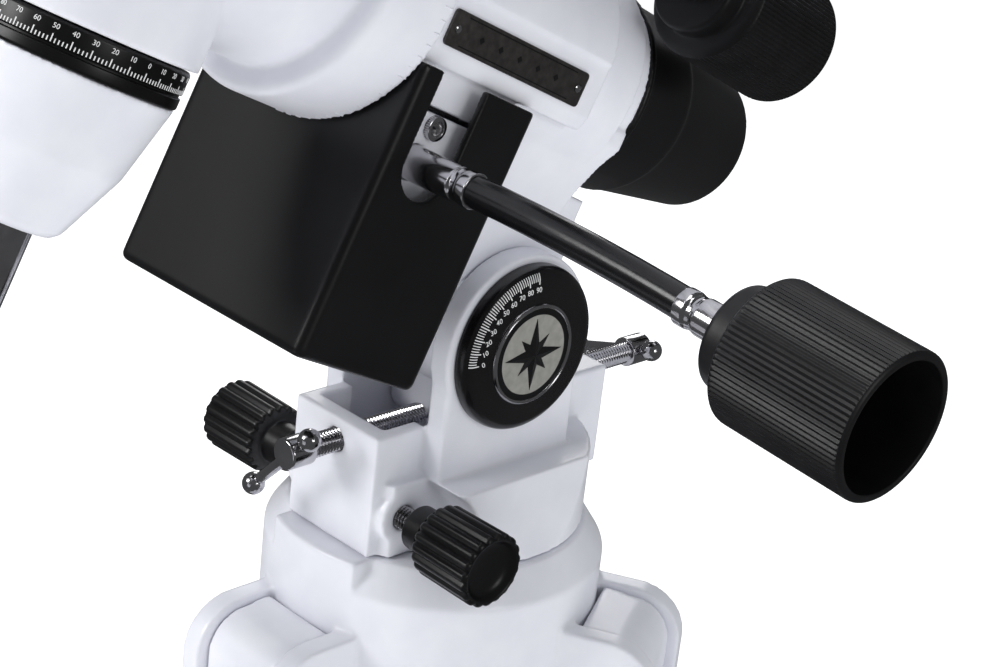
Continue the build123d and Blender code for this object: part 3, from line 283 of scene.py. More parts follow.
def moulded_rubber():
    # Black moulded rubber with a greyish bloom.
    material, tree, shader, place = surface("moulded_rubber", IOR=1.52)
    if tree:
        mottled(tree, shader, place, "#1B1B1C", "#2A2A2B", 7.0)
        grained(tree, shader, place, 0.9, 0.05, 0.5, 0.6, 0.75)
    return material


def coated_glass():
    # Crown glass with a magnesium fluoride coating: clear, with a faint green cast.
    material, tree, shader, place = surface("coated_glass", Transmission_Weight=0.9, IOR=1.52, Roughness=0.02)
    if tree:
        mottled(tree, shader, place, "#CFE8DC", "#DDF0E6", 60.0)
    return material


def white_print():
    # Screen-printed white epoxy ink: flat, slightly rough and not quite opaque at its edges.
    material, tree, shader, place = surface("white_print", Roughness=0.5, IOR=1.5)
    if tree:
        mottled(tree, shader, place, "#DCDDDD", "#EDEDED", 1.2)
    return material


def studio_paper():
    # Seamless matt paper under and behind the object.
    material, tree, shader, place = surface("studio_paper", Roughness=0.9, Specular_IOR_Level=0.1)
    if tree:
        mottled(tree, shader, place, "#F8F9FA", "#FBFBFC", 300.0)
        shader.inputs["Emission Color"].default_value = linear("#FFFFFF")
        shader.inputs["Emission Strength"].default_value = 0.62
    return material


# ---------------------------------------------------------------- mesh tools
def placed(name, mesh, material, body, stands_for=()):
    """Object for a mesh: smooth, with its material, riding on its body."""
    piece = bpy.data.objects.new(name, mesh)
    bpy.context.scene.collection.objects.link(piece)
    mesh.materials.append(material)
    if body is None:
        return piece
    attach(piece, body)
    if stands_for:
        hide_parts(*stands_for)
    return piece


def finished(builder, name, sharp=35.0):
    """Mesh from a bmesh, smooth but for its sharp edges."""
    bmesh.ops.recalc_face_normals(builder, faces=builder.faces)
    for face in builder.faces:
        face.smooth = True
    for edge in builder.edges:
        if len(edge.link_faces) == 2 and edge.calc_face_angle(0) > radians(sharp):
            edge.smooth = False
    mesh = bpy.data.meshes.new(name)
    builder.to_mesh(mesh)
    builder.free()
    return mesh


def rounded(points, radius, steps=4):
    """An outline with its inner corners rounded, in millimetres: each point may carry its own radius."""
    result = [points[0][:2]]
    for before, corner, after in zip(points, points[1:], points[2:]):
        here = Vector(corner[:2])
        to_before = Vector(before[:2]) - here
        to_after = Vector(after[:2]) - here
        size = corner[2] if len(corner) > 2 else radius
        size = min(size, to_before.length * 0.49, to_after.length * 0.49)
        start = here + to_before.normalized() * size
        end = here + to_after.normalized() * size
        for i in range(steps + 1):
            t = i / steps
            point = start * (1 - t) ** 2 + here * 2 * t * (1 - t) + end * t ** 2
            result.append((point.x, point.y))
    result.append(points[-1][:2])
    return result


def lathe_mesh(name, outline, place, segments=64, shape=None, closed=False):
    """Turned piece: an outline of radius and height in millimetres about a place's z axis."""
    builder = bmesh.new()
    rings = []
    for radius, height in outline:
        ring = []
        for i in range(segments):
            angle = 2 * pi * i / segments
            r = shape(angle, radius, height) if shape else radius
            point = place @ Vector((r * cos(angle) * MM, r * sin(angle) * MM, height * MM))
            ring.append(builder.verts.new(point))
        rings.append(ring)
    pairs = list(zip(rings, rings[1:]))
    if closed:
        pairs.append((rings[-1], rings[0]))
    for low, high in pairs:
        for i in range(segments):
            j = (i + 1) % segments
            builder.faces.new((low[i], low[j], high[j], high[i]))
    if not closed:
        builder.faces.new(rings[0])
        builder.faces.new(rings[-1])
    bmesh.ops.remove_doubles(builder, verts=builder.verts, dist=2e-6)
    return finished(builder, name)


def turned(name, outline, place, material, body, slot, stands_for=(), **options):
    return placed(name, lathe_mesh(name, outline, place, **options), material, body, stands_for)


def thread(radius, pitch, depth, start, end):
    """Shape of a cut thread between two heights: a ridge that climbs one pitch a turn."""
    def shape(angle, r, height):
        if not start < height < end or r < radius - 0.01:
            return r
        phase = (height / pitch - angle / (2 * pi)) % 1.0
        return r - depth * abs(2 * phase - 1)
    return shape


def thread_outline(radius, start, end, pitch, steps=6):
    """Heights close enough together to draw a thread between start and end."""
    count = int((end - start) / pitch * steps)
    return [(radius, start + (end - start) * i / count) for i in range(count + 1)]


def ribs(count, depth, start, end, sharpness=1.0):
    """Shape of ribs along a turned piece between two heights."""
    def shape(angle, r, height):
        if not start < height < end:
            return r
        wave = 0.5 + 0.5 * cos(count * angle)
        return r - depth * wave ** sharpness
    return shape


def cast_copy(node, material, voxel=1.0, passes=6, stands_for=()):
    """Copy of a node's own shape with cast fillets on its edges: remeshed finely, then relaxed."""
    source = frame["nodes"][node]
    builder = bmesh.new()
    builder.from_mesh(source.data)
    bmesh.ops.remove_doubles(builder, verts=builder.verts, dist=1e-6)
    mesh = bpy.data.meshes.new(node + "_cast")
    builder.to_mesh(mesh)
    builder.free()
    copy = bpy.data.objects.new(node + "_source", mesh)
    bpy.context.scene.collection.objects.link(copy)
    remesh = copy.modifiers.new("remesh", "REMESH")
    remesh.mode = "VOXEL"
    remesh.voxel_size = voxel * MM
    remesh.use_smooth_shade = True
    relax = copy.modifiers.new("relax", "SMOOTH")
    relax.factor = 0.5
    relax.iterations = passes
    bpy.context.view_layer.update()
    shape = bpy.data.meshes.new_from_object(copy.evaluated_get(bpy.context.evaluated_depsgraph_get()))
    bpy.data.objects.remove(copy)
    shape.materials.clear()
    return placed(node + "_skin", shape, material, BODY_OF[node], (node,) + tuple(stands_for))


def dressed(node, material):
    """Gives a node that keeps its own mesh a better material."""
    slots = frame["nodes"][node].material_slots
    for slot in slots:
        slot.material = material


def lettering(text, size, place, name):
    """Mesh of a number in the plane of a place, centred on it."""
    curve = bpy.data.curves.new(name, "FONT")
    curve.body = text
    curve.size = size * MM
    curve.align_x = "CENTER"
    curve.align_y = "CENTER"
    curve.extrude = 0.05 * MM
    holder = bpy.data.objects.new(name, curve)
    bpy.context.scene.collection.objects.link(holder)
    bpy.context.view_layer.update()
    mesh = bpy.data.meshes.new_from_object(holder.evaluated_get(bpy.context.evaluated_depsgraph_get()))
    bpy.data.objects.remove(holder)
    mesh.transform(place)
    return mesh


def block(builder, place, size):
    """Adds a small box of a size in millimetres, centred on a place."""
    made = bmesh.ops.create_cube(builder, size=1.0)
    scale = Matrix.Diagonal((size[0] * MM, size[1] * MM, size[2] * MM, 1))
    bmesh.ops.transform(builder, matrix=place @ scale, verts=made["verts"])


def merged(name, meshes, builder=None):
    """One mesh from several."""
    builder = builder or bmesh.new()
    for mesh in meshes:
        builder.from_mesh(mesh)
    result = bpy.data.meshes.new(name)
    builder.to_mesh(result)
    builder.free()
    return result


# ---------------------------------------------------------------- settings
class CastingSettings(bpy.types.PropertyGroup):
    voxel: FloatProperty(name="Casting grain", default=0.9,
                         description="Cell size of the white castings' mesh, in millimetres", min=0.5, max=3.0)
    passes: IntProperty(name="Casting fillets", description="How far the castings' edges are relaxed",
                        default=4, min=0, max=30)
    thread_pitch: FloatProperty(name="Thread pitch", description="Pitch of the M8 screws, in millimetres",
                                default=1.25, min=0.5, max=3.0)


class ScaleSettings(bpy.types.PropertyGroup):
    figure: FloatProperty(name="Figure height", description="Height of the scales' figures, in millimetres",
                          default=2.5, min=1.0, max=8.0)
    tick: FloatProperty(name="Tick length", description="Length of a ten-degree tick, in millimetres",
                        default=3.6, min=0.5, max=6.0)


class KnobSettings(bpy.types.PropertyGroup):
    ribs: IntProperty(name="Hand knob ribs", description="Ribs round a control shaft's hand knob",
                      default=84, min=12, max=160)
    flutes: IntProperty(name="Azimuth knob flutes", description="Flutes round an azimuth knob",
                        default=19, min=6, max=40)
    wall: FloatProperty(name="Cup wall", description="Wall of the hand knobs' cups, in millimetres",
                        default=2.6, min=1.0, max=6.0)


class StudioSettings(bpy.types.PropertyGroup):
    lens: FloatProperty(name="Lens", description="Focal length of the camera, in millimetres", default=89.0,
                        min=20.0, max=300.0)
    place: FloatVectorProperty(name="Camera place",
                               description="Where the camera stands from the tripod head's top",
                               default=(-0.52572, 0.52549, 0.38207), subtype="XYZ", unit="LENGTH")
    azimuth: FloatProperty(name="Azimuth", description="How far west of north the camera stands",
                           default=0.76593928, subtype="ANGLE")
    elevation: FloatProperty(name="Elevation", description="How far the camera looks down",
                             default=0.4062009, subtype="ANGLE")
    roll: FloatProperty(name="Roll", description="How far the camera is turned about its view",
                        default=0.11553609, subtype="ANGLE")
    paper: StringProperty(name="World colour", description="Colour of the light that comes from all round",
                          default="#F4F6F8")


# ---------------------------------------------------------------- stage
class SCOPE_OT_stage(bpy.types.Operator):
    """Sets the floor, the soft lamps and the camera"""
    bl_idname = "scope.stage"
    bl_label = "Stage"

    def execute(self, context):
        studio = context.scene.scope_studio
        world = bpy.data.worlds.new("studio")
        context.scene.world = world
        world.use_nodes = True
        world.node_tree.nodes["Background"].inputs["Color"].default_value = linear(studio.paper)
        tree = world.node_tree
        ray = add(tree, "ShaderNodeLightPath")
        gloss = add(tree, "ShaderNodeMapRange", Value=ray.outputs["Is Glossy Ray"], To_Min=0.44, To_Max=0.11)
        seen = add(tree, "ShaderNodeMapRange", Value=ray.outputs["Is Camera Ray"],
                   To_Min=gloss.outputs["Result"], To_Max=1.05)
        tree.links.new(seen.outputs["Result"], tree.nodes["Background"].inputs["Strength"])
        context.scene.view_settings.view_transform = "Standard"
        builder = bmesh.new()
        bmesh.ops.create_grid(builder, x_segments=4, y_segments=4, size=40.0)
        floor = placed("studio_floor", finished(builder, "studio_floor"), studio_paper(), None)
        floor.location = (0, 0, -0.0005)
        floor.visible_glossy = False
        target = Vector((0, 0, HEAD_TOP + 0.08))
        lamps = (("key", (0.9, 2.1, 1.9), 0.9, 29.0), ("side", (-2.2, 0.1, 1.5), 0.8, 8.0),
                 ("top", (0.3, 0.4, 2.9), 1.3, 17.0), ("rim", (1.6, -1.8, 1.8), 1.0, 12.0))
        for name, place, size, power in lamps:
            light = bpy.data.lights.new(name, "AREA")
            light.shape = "SQUARE"
            light.size = size
            light.energy = power
            lamp = bpy.data.objects.new(name, light)
            context.scene.collection.objects.link(lamp)
            lamp.location = place
            lamp.rotation_euler = (Vector(place) - target).to_track_quat("Z", "Y").to_euler()
        flat = cos(studio.elevation)
        back = Vector((-sin(studio.azimuth) * flat, cos(studio.azimuth) * flat, sin(studio.elevation)))
        level = back.cross(UP) * -1
        level.normalize()
        lift = back.cross(level)
        right = level * cos(studio.roll) + lift * sin(studio.roll)
        lift = level * -sin(studio.roll) + lift * cos(studio.roll)
        eye = bpy.data.cameras.new("camera")
        eye.lens = studio.lens
        eye.sensor_width = 36.0
        eye.clip_start = 0.01
        camera = bpy.data.objects.new("camera", eye)
        context.scene.collection.objects.link(camera)
        place = Vector(studio.place) + UP * HEAD_TOP
        camera.matrix_world = Matrix((
            (right.x, lift.x, back.x, place.x),
            (right.y, lift.y, back.y, place.y),
            (right.z, lift.z, back.z, place.z),
            (0, 0, 0, 1)))
        context.scene.camera = camera
        return {"FINISHED"}


# ---------------------------------------------------------------- tripod
def leg_axes(name):
    """Hinge point, direction up the leg, direction outwards and side of a leg."""
    hinge = Vector(JOINTS[f"leg_fold_{name}"]["pos_m"])
    up = Vector(JOINTS[f"leg_extend_{name}"]["axis"]) * -1
    out = Vector(JOINTS[f"leg_clamp_turn_{name}"]["axis"])
    side = Vector(JOINTS[f"leg_fold_{name}"]["axis"]) * -1
    return hinge, up, out, side


def hex_bolt(name, place, reach, width, body, slot, stands_for=()):
    """Hexagon head with a washer face and a chamfer, standing on a place."""
    outline = [(0, 0), (width * 0.62, 0), (width * 0.62, 1.2), (width * 0.5, 1.2), (width * 0.577, 1.25),
               (width * 0.577, reach - 0.8), (width * 0.5, reach), (0, reach)]

    def hexagon(angle, r, height):
        if height <= 1.2:
            return r
        return r * cos(pi / 6) / cos((angle + pi / 6) % (pi / 3) - pi / 6)
    return turned(name, outline, place, chrome_plate(), body, slot, stands_for, segments=48, shape=hexagon)


class SCOPE_OT_tripod_head(bpy.types.Operator):
    """Casts the tripod head with its leg brackets and fits the hinge bolts and the centre rod"""
    bl_idname = "scope.tripod_head"
    bl_label = "Tripod head"

    def execute(self, context):
        casting = context.scene.scope_casting
        cast_copy("tripod_head", powder_coated_aluminium(), casting.voxel, casting.passes)
        for name in LEGS:
            hinge, up, out, side = leg_axes(name)
            for sign in (-1, 1):
                place = placing(hinge + side * sign * BRACKET_SIDE * MM, side * sign)
                hex_bolt(f"hinge_bolt_{name}_{'outer' if sign > 0 else 'inner'}", place, 4.6, 14.0,
                         "tripod_head", "chrome_steel", ("leg_hinge_bolts",))
        low, high = span("centre_rod", UP)
        rod = thread_outline(6.0, low + 9, low + 60, 1.5, 5)
        outline = rounded([(0, low), (12, low), (12, low + 8), (6, low + 8.2)], 1.0) + rod
        outline += [(6, high - 30), (6, high), (0, high)]
        turned("centre_rod_turned", outline, placing(Vector((0, 0, 0)), UP), chrome_plate(), "tripod_head",
               "chrome_steel", ("centre_rod",), segments=32, shape=thread(6.0, 1.5, 0.5, low + 9, low + 60))
        return {"FINISHED"}


class SCOPE_OT_legs(bpy.types.Operator):
    """Makes the legs: castings, steel tubes, clamp knobs, inner legs with rubber feet, and braces"""
    bl_idname = "scope.legs"
    bl_label = "Legs and braces"

    def execute(self, context):
        casting = context.scene.scope_casting
        for name in LEGS:
            hinge, up, out, side = leg_axes(name)
            cast_copy(f"leg_castings_{name}", powder_coated_aluminium(), casting.voxel * 1.15, casting.passes)
            low, high = span(f"leg_tube_{name}", up, hinge)
            steel = [(19.6, low), (21.6, low), (22, low + 0.5), (22, high - 0.5), (21.6, high), (19.6, high)]
            turned(f"steel_tube_{name}", steel, placing(hinge, up, side), stainless_steel(), f"leg_{name}",
                   "stainless_tube", (f"leg_tube_{name}",), segments=72, closed=True)
            foot = cast_copy(f"inner_leg_{name}", stainless_steel(), 1.1, 4)
            foot.data.materials.append(moulded_rubber())
            bottom = span(f"inner_leg_{name}", up, hinge)[0]
            for face in foot.data.polygons:
                away = face.center - hinge
                along = away.dot(up) / MM
                radius = (away - up * away.dot(up)).length / MM
                if radius > 19.8 or along < bottom + 46:
                    face.material_index = 1
            low, high = span(f"leg_clamp_knob_{name}", out, Vector(JOINTS[f"leg_clamp_turn_{name}"]["pos_m"]))
            knob = rounded([(0, low), (4, low), (4, high - 20.5), (8, high - 20.3, 0.5), (8, high - 14.4, 0.5),
                            (16, high - 14, 1.5), (17.6, high - 7, 3), (16, high, 2.0), (9, high, 1.0),
                            (7, high - 1.2, 0.5), (0, high - 1.2)], 1.0)
            lobes = ribs(5, 4.5, high - 14.2, high + 1, 1.4)
            turned(f"clamp_knob_{name}", knob, placing(Vector(JOINTS[f"leg_clamp_turn_{name}"]["pos_m"]), out),
                   ribbed_nylon(), f"leg_clamp_{name}", "black_grip", (f"leg_clamp_knob_{name}",), segments=120,
                   shape=lobes)
            cast_copy(f"brace_{name}", stainless_steel(), 0.8, 4)
            pivot = Vector(JOINTS[f"brace_pivot_{name}"]["pos_m"])
            for sign in (-1, 1):
                place = placing(pivot + side * sign * 6.4 * MM, side * sign)
                hex_bolt(f"brace_bolt_{name}_{'left' if sign < 0 else 'right'}", place, 3.4, 8.0, "brace_hub",
                         "chrome_steel")
        cast_copy("brace_hub", satin_abs(), 0.9, 5)
        cast_copy("accessory_tray", satin_abs(), 1.2, 4)
        return {"FINISHED"}


# ---------------------------------------------------------------- mount base
class SCOPE_OT_mount_base(bpy.types.Operator):
    """Casts the mount's base and fits the azimuth screws and the latitude bolts"""
    bl_idname = "scope.mount_base"
    bl_label = "Mount base"

    def execute(self, context):
        casting = context.scene.scope_casting
        knobs = context.scene.scope_knobs
        cast_copy("mount_base", powder_coated_aluminium(), casting.voxel * 0.9, casting.passes)
        pitch = casting.thread_pitch
        low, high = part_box("azimuth_screws")
        centre = Vector((0, (low[1] + high[1]) / 2, (low[2] + high[2]) / 2))
        end = high[0] / MM
        for sign, name in ((-1, "west"), (1, "east")):
            place = placing(centre, EAST * sign, UP)
            screw = thread_outline(4.0, 3.5, end - 35.5, pitch)
            knob = rounded([(4.0, end - 35.2), (7.5, end - 35, 0.8), (7.5, end - 26.6, 1.2),
                            (8.6, end - 26.4, 0.6), (12.2, end - 25.2, 1.6), (12.5, end - 1.0, 1.6),
                            (10.6, end, 1.2), (8.8, end - 3.0, 2.0), (6.0, end - 3.8, 1.0),
                            (3.0, end - 4.2, 0.5), (0.6, end - 4.3, 0.1), (0, end - 4.3)], 0.8)
            screw = [(0, 3.5)] + screw + knob
            cut = thread(4.0, pitch, 0.95, 3.4, end - 35.5)
            flute = ribs(knobs.flutes, 1.1, end - 25.4, end - 0.4, 2.2)

            def shape(angle, r, height):
                return flute(angle, r, height) if r > 11 else cut(angle, r, height)
            turned(f"azimuth_screw_{name}_turned", screw, place, satin_abs(), "azimuth_screws", "black_gloss",
                   ("azimuth_screws",), segments=19 * 10, shape=shape)
            steel = [(0, 3.4)] + [(r + 0.02, z) for r, z in thread_outline(4.0, 3.5, end - 35.4, pitch)]
            steel += [(0, end - 35.3)]
            turned(f"azimuth_thread_{name}", steel, place, chrome_plate(), "azimuth_screws", "chrome_steel",
                   segments=48, shape=thread(4.02, pitch, 0.95, 3.4, end - 35.3))
        for name, side in (("front", 1), ("rear", -1)):
            self.t_bolt(name, side, pitch)
        return {"FINISHED"}

    def t_bolt(self, name, side, pitch):
        """Latitude bolt: thread, turned head, and the sliding bar with its balls."""
        low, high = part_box(f"{name}_t_bolt")
        centre = Vector((0, 0, (low[2] + high[2]) / 2))
        reach = sorted(abs(v) / MM for v in (low[1], high[1]))
        place = placing(centre, NORTH * side, EAST)
        tip, end = reach
        outline = [(0, tip), (3.4, tip)] + thread_outline(4.0, tip + 0.6, end - 9.7, pitch)
        outline += rounded([(4.0, end - 9.6), (5.25, end - 9.5, 0.5), (5.25, end, 0.9), (0, end + 0.0)], 0.6)
        turned(f"{name}_t_bolt_turned", outline, place, chrome_plate(), f"{name}_t_bolt", "chrome_steel",
               (f"{name}_t_bolt",), segments=64, shape=thread(4.0, pitch, 0.95, tip + 0.5, end - 9.6))
        along = Vector(JOINTS[f"{name}_bar_slide"]["axis"])
        middle = centre + NORTH * side * (end - 4.75) * MM
        first = -BOLT_HEAD - BALL
        last = first + BAR_SPAN
        outline = []
        for i in range(17):
            angle = pi * i / 16 * 0.86
            outline.append((BALL * sin(angle), first - BALL * cos(angle)))
        outline.append((1.9, first + 4.6))
        outline.append((1.9, last - 4.6))
        for i in range(17):
            angle = pi * (0.14 + 0.86 * i / 16)
            outline.append((BALL * sin(angle), last - BALL * cos(angle)))
        turned(f"{name}_t_bar_turned", outline, placing(middle, along, NORTH), chrome_plate(), f"{name}_t_bar",
               "chrome_steel", (f"{name}_t_bar",), segments=48)


def dome(radius):
    """Height of the latitude disc's face above the ear at a radius, in millimetres."""
    if radius > 24.0:
        return 5.9 - 3.6 * (1 - sqrt(max(0.0, 1 - ((radius - 24.0) / 4.0) ** 2)))
    return 5.9 + 1.0 * (1 - (radius / 24.0) ** 2)


class SCOPE_OT_latitude_disc(bpy.types.Operator):
    """Moulds the latitude disc with its printed scale and badge, and the plain cap opposite"""
    bl_idname = "scope.latitude_disc"
    bl_label = "Latitude disc"

    def execute(self, context):
        scale = context.scene.scope_scale
        face = [(dome_r, dome(dome_r)) for dome_r in [28.0 - 0.25 * i for i in range(17)]]
        face += [(24.0 - 2 * i, dome(24.0 - 2 * i)) for i in range(1, 13)]
        outline = [(27.6, 0.0), (28.0, 0.4)] + face
        for node, x, away in (("latitude_disc", -29.0, EAST * -1), ("pivot_cap", 29.0, EAST)):
            place = placing(PIVOT + EAST * x * MM, away, UP)
            turned(node + "_moulded", [(0, 0)] + outline, place, gloss_abs(), "mount_base", "black_gloss",
                   (node,), segments=128)
        place = placing(PIVOT + EAST * -29.0 * MM, EAST * -1, NORTH * -1)
        builder = bmesh.new()
        figures = []
        for degree in range(0, 91, 2):
            long = degree % 10 == 0
            angle = pi - radians(degree)
            length = scale.tick if long else scale.tick * 0.7
            outer = 26.6
            turn = Matrix.Rotation(angle, 4, "Z")
            # short lengths, so that a tick bends over the disc's round edge
            for part in range(6):
                middle = outer - length * (part + 0.5) / 6
                spot = Matrix.Translation((middle * cos(angle) * MM, middle * sin(angle) * MM, 0))
                block(builder, spot @ turn, (length / 6, 0.36 if long else 0.28, 0.16))
            if long:
                radius = outer - scale.tick - scale.figure * 0.75
                spot = Matrix.Translation((radius * cos(angle) * MM, radius * sin(angle) * MM, 0))
                lean = Matrix.Rotation((angle - pi / 2) * 0.3, 4, "Z")
                figures.append(lettering(str(degree), scale.figure, spot @ lean, "figure"))
        mesh = merged("latitude_scale", figures, builder)
        for vertex in mesh.vertices:
            radius = hypot(vertex.co.x, vertex.co.y) / MM
            vertex.co.z += (dome(radius) + 0.02) * MM
        mesh.transform(place)
        placed("latitude_scale", mesh, white_print(), "mount_base")
        badge = placing(PIVOT + EAST * -29.0 * MM + UP * -0.8 * MM, EAST * -1, UP)
        rim = rounded([(15.6, 6.1), (15.6, 7.0), (16.3, 7.6, 0.4), (17.1, 6.9, 0.4), (17.3, 6.0)], 0.3)
        turned("badge_rim", rim, badge, chrome_plate(), "mount_base", "chrome_steel", segments=96, closed=True)
        field = [(0, 6.0), (13.6, 6.0), (13.6, 6.95), (9, 7.0), (0, 7.05)]
        turned("badge_field", field, badge, satin_aluminium(), "mount_base", "silver_plate", segments=96)
        trough = [(13.5, 6.0), (15.7, 6.0), (15.7, 6.75), (13.5, 6.85)]
        turned("badge_ring", trough, badge, satin_abs(), "mount_base", "black_gloss", segments=96, closed=True)
        star = bmesh.new()
        for turn, long, broad in ((0, 12.4, 3.4), (45, 8.6, 2.8)):
            for k in range(4):
                base = radians(turn + 90 * k)
                tip = (long * cos(base), long * sin(base), 7.1)
                ridge = (0, 0, 8.0)
                for sign in (-1, 1):
                    side = base + sign * pi / 4
                    flank = (broad * cos(side), broad * sin(side), 7.0)
                    corners = [star.verts.new(badge @ Vector([c * MM for c in p])) for p in (ridge, tip, flank)]
                    star.faces.new(corners)
                    under = [star.verts.new(badge @ Vector((p[0] * MM, p[1] * MM, 6.9 * MM)))
                             for p in (ridge, tip, flank)]
                    star.faces.new(under[::-1])
                    for i in range(3):
                        j = (i + 1) % 3
                        star.faces.new((corners[i], under[i], under[j], corners[j]))
        placed("badge_star", finished(star, "badge_star", 10.0), satin_abs(), "mount_base")
        return {"FINISHED"}


# ---------------------------------------------------------------- polar head
class SCOPE_OT_polar_head(bpy.types.Operator):
    """Casts the polar housing and makes the covers, the plate and the worm's carrier"""
    bl_idname = "scope.polar_head"
    bl_label = "Polar head"

    def execute(self, context):
        casting = context.scene.scope_casting
        cast_copy("polar_housing", powder_coated_aluminium(), casting.voxel * 0.9, casting.passes)
        cast_copy("motor_cover", satin_abs(), 0.7, 4)
        cast_copy("worm_carrier", powder_coated_aluminium(), 0.8, 4)
        cast_copy("polar_scope_cover", satin_abs(), 0.8, 5)
        low, high = span("name_plate", POLAR, PIVOT)
        bottom, top = span("name_plate", NORMAL, PIVOT)
        face = span("name_plate", EAST, PIVOT)[0]
        builder = bmesh.new()
        middle = placing(at(face + 0.35, (low + high) / 2, (bottom + top) / 2), EAST * -1, POLAR)
        block(builder, middle, (high - low, top - bottom, 0.9))
        corners = [e for e in builder.edges if abs((e.verts[0].co - e.verts[1].co).dot(EAST)) > 0.5 * MM]
        bmesh.ops.bevel(builder, geom=corners, offset=1.4 * MM, segments=5, affect="EDGES", profile=0.5)
        rims = [e for e in builder.edges if len(e.link_faces) == 2 and e.calc_face_angle(0) > radians(60)]
        bmesh.ops.bevel(builder, geom=rims, offset=0.2 * MM, segments=2, affect="EDGES", profile=0.5)
        placed("plate", finished(builder, "plate"), smoked_aluminium(), "polar_head",
               ("name_plate",))
        border = bmesh.new()
        for v in (-1, 1):
            block(border, middle @ Matrix.Translation((0, v * (top - bottom - 2.4) / 2 * MM, 0.48 * MM)),
                  (high - low - 12, 0.35, 0.12))
        for i in range(5):
            block(border, middle @ Matrix.Translation(((i - 2) * 9.0 * MM, 0, 0.48 * MM)) @
                  Matrix.Rotation(pi / 4, 4, "Z"), (1.6, 1.6, 0.12))
        placed("plate_border", finished(border, "plate_border"), satin_abs(), "polar_head")
        for end in (low + 3.2, high - 3.2):
            rivet = placing(at(face - 0.1, end, (bottom + top) / 2), EAST * -1)
            turned(f"plate_rivet_{int(end)}", [(0, 0), (1.3, 0), (1.25, 0.35), (0.9, 0.6), (0, 0.75)], rivet,
                   chrome_plate(), "polar_head", "silver_plate", segments=24)
        worm = Vector(JOINTS["ra_worm_turn"]["pos_m"])
        side = span("worm_carrier", EAST)[0] * MM
        spot = Vector((side, worm.y, worm.z)) + POLAR * -2.5 * MM + NORMAL * 11.5 * MM
        screw = rounded([(0, 0), (3.8, 0), (3.8, 2.0, 0.4), (2.4, 2.2, 0.3), (2.2, 1.4, 0.2), (0, 1.2)], 0.2)
        turned("mesh_screw", screw, placing(spot, EAST * -1), chrome_plate(), "polar_head", "worm_steel",
               segments=160, shape=ribs(32, 0.35, 0.1, 1.9))
        # painted shade: a thin black strip stands for the shadow inside the slot line across the carrier's side
        line = bmesh.new()
        spot = Vector((side, worm.y, worm.z)) + NORMAL * 16.6 * MM
        block(line, placing(spot, EAST * -1, POLAR), (22, 0.7, 0.3))
        placed("carrier_slot_shade", finished(line, "carrier_slot_shade"), satin_abs(), "polar_head")
        dressed("polar_shaft", ground_steel())
        dressed("latitude_pivot", ground_steel())
        for node in ("ra_worm", "dec_worm", "dec_shaft"):
            dressed(node, ground_steel())
        return {"FINISHED"}


def sleeve_points(origin, along, start, length, sag):
    """Centre of a stiff shaft that droops a little under its knob, in metres."""
    shares = [i / 8 for i in range(9)]
    return [origin + along * (start + length * s) * MM - UP * sag * s * s * MM for s in shares]


def tube_mesh(name, points, radius, segments=32):
    """Round tube of a radius in millimetres along points."""
    builder = bmesh.new()
    rings = []
    for i, point in enumerate(points):
        ahead = points[min(i + 1, len(points) - 1)] - points[max(i - 1, 0)]
        place = placing(point, ahead, UP)
        rings.append([builder.verts.new(place @ Vector((radius * cos(2 * pi * k / segments) * MM,
                                                        radius * sin(2 * pi * k / segments) * MM, 0)))
                      for k in range(segments)])
    for low, high in zip(rings, rings[1:]):
        for k in range(segments):
            m = (k + 1) % segments
            builder.faces.new((low[k], low[m], high[m], high[k]))
    builder.faces.new(rings[0])
    builder.faces.new(rings[-1])
    return finished(builder, name)


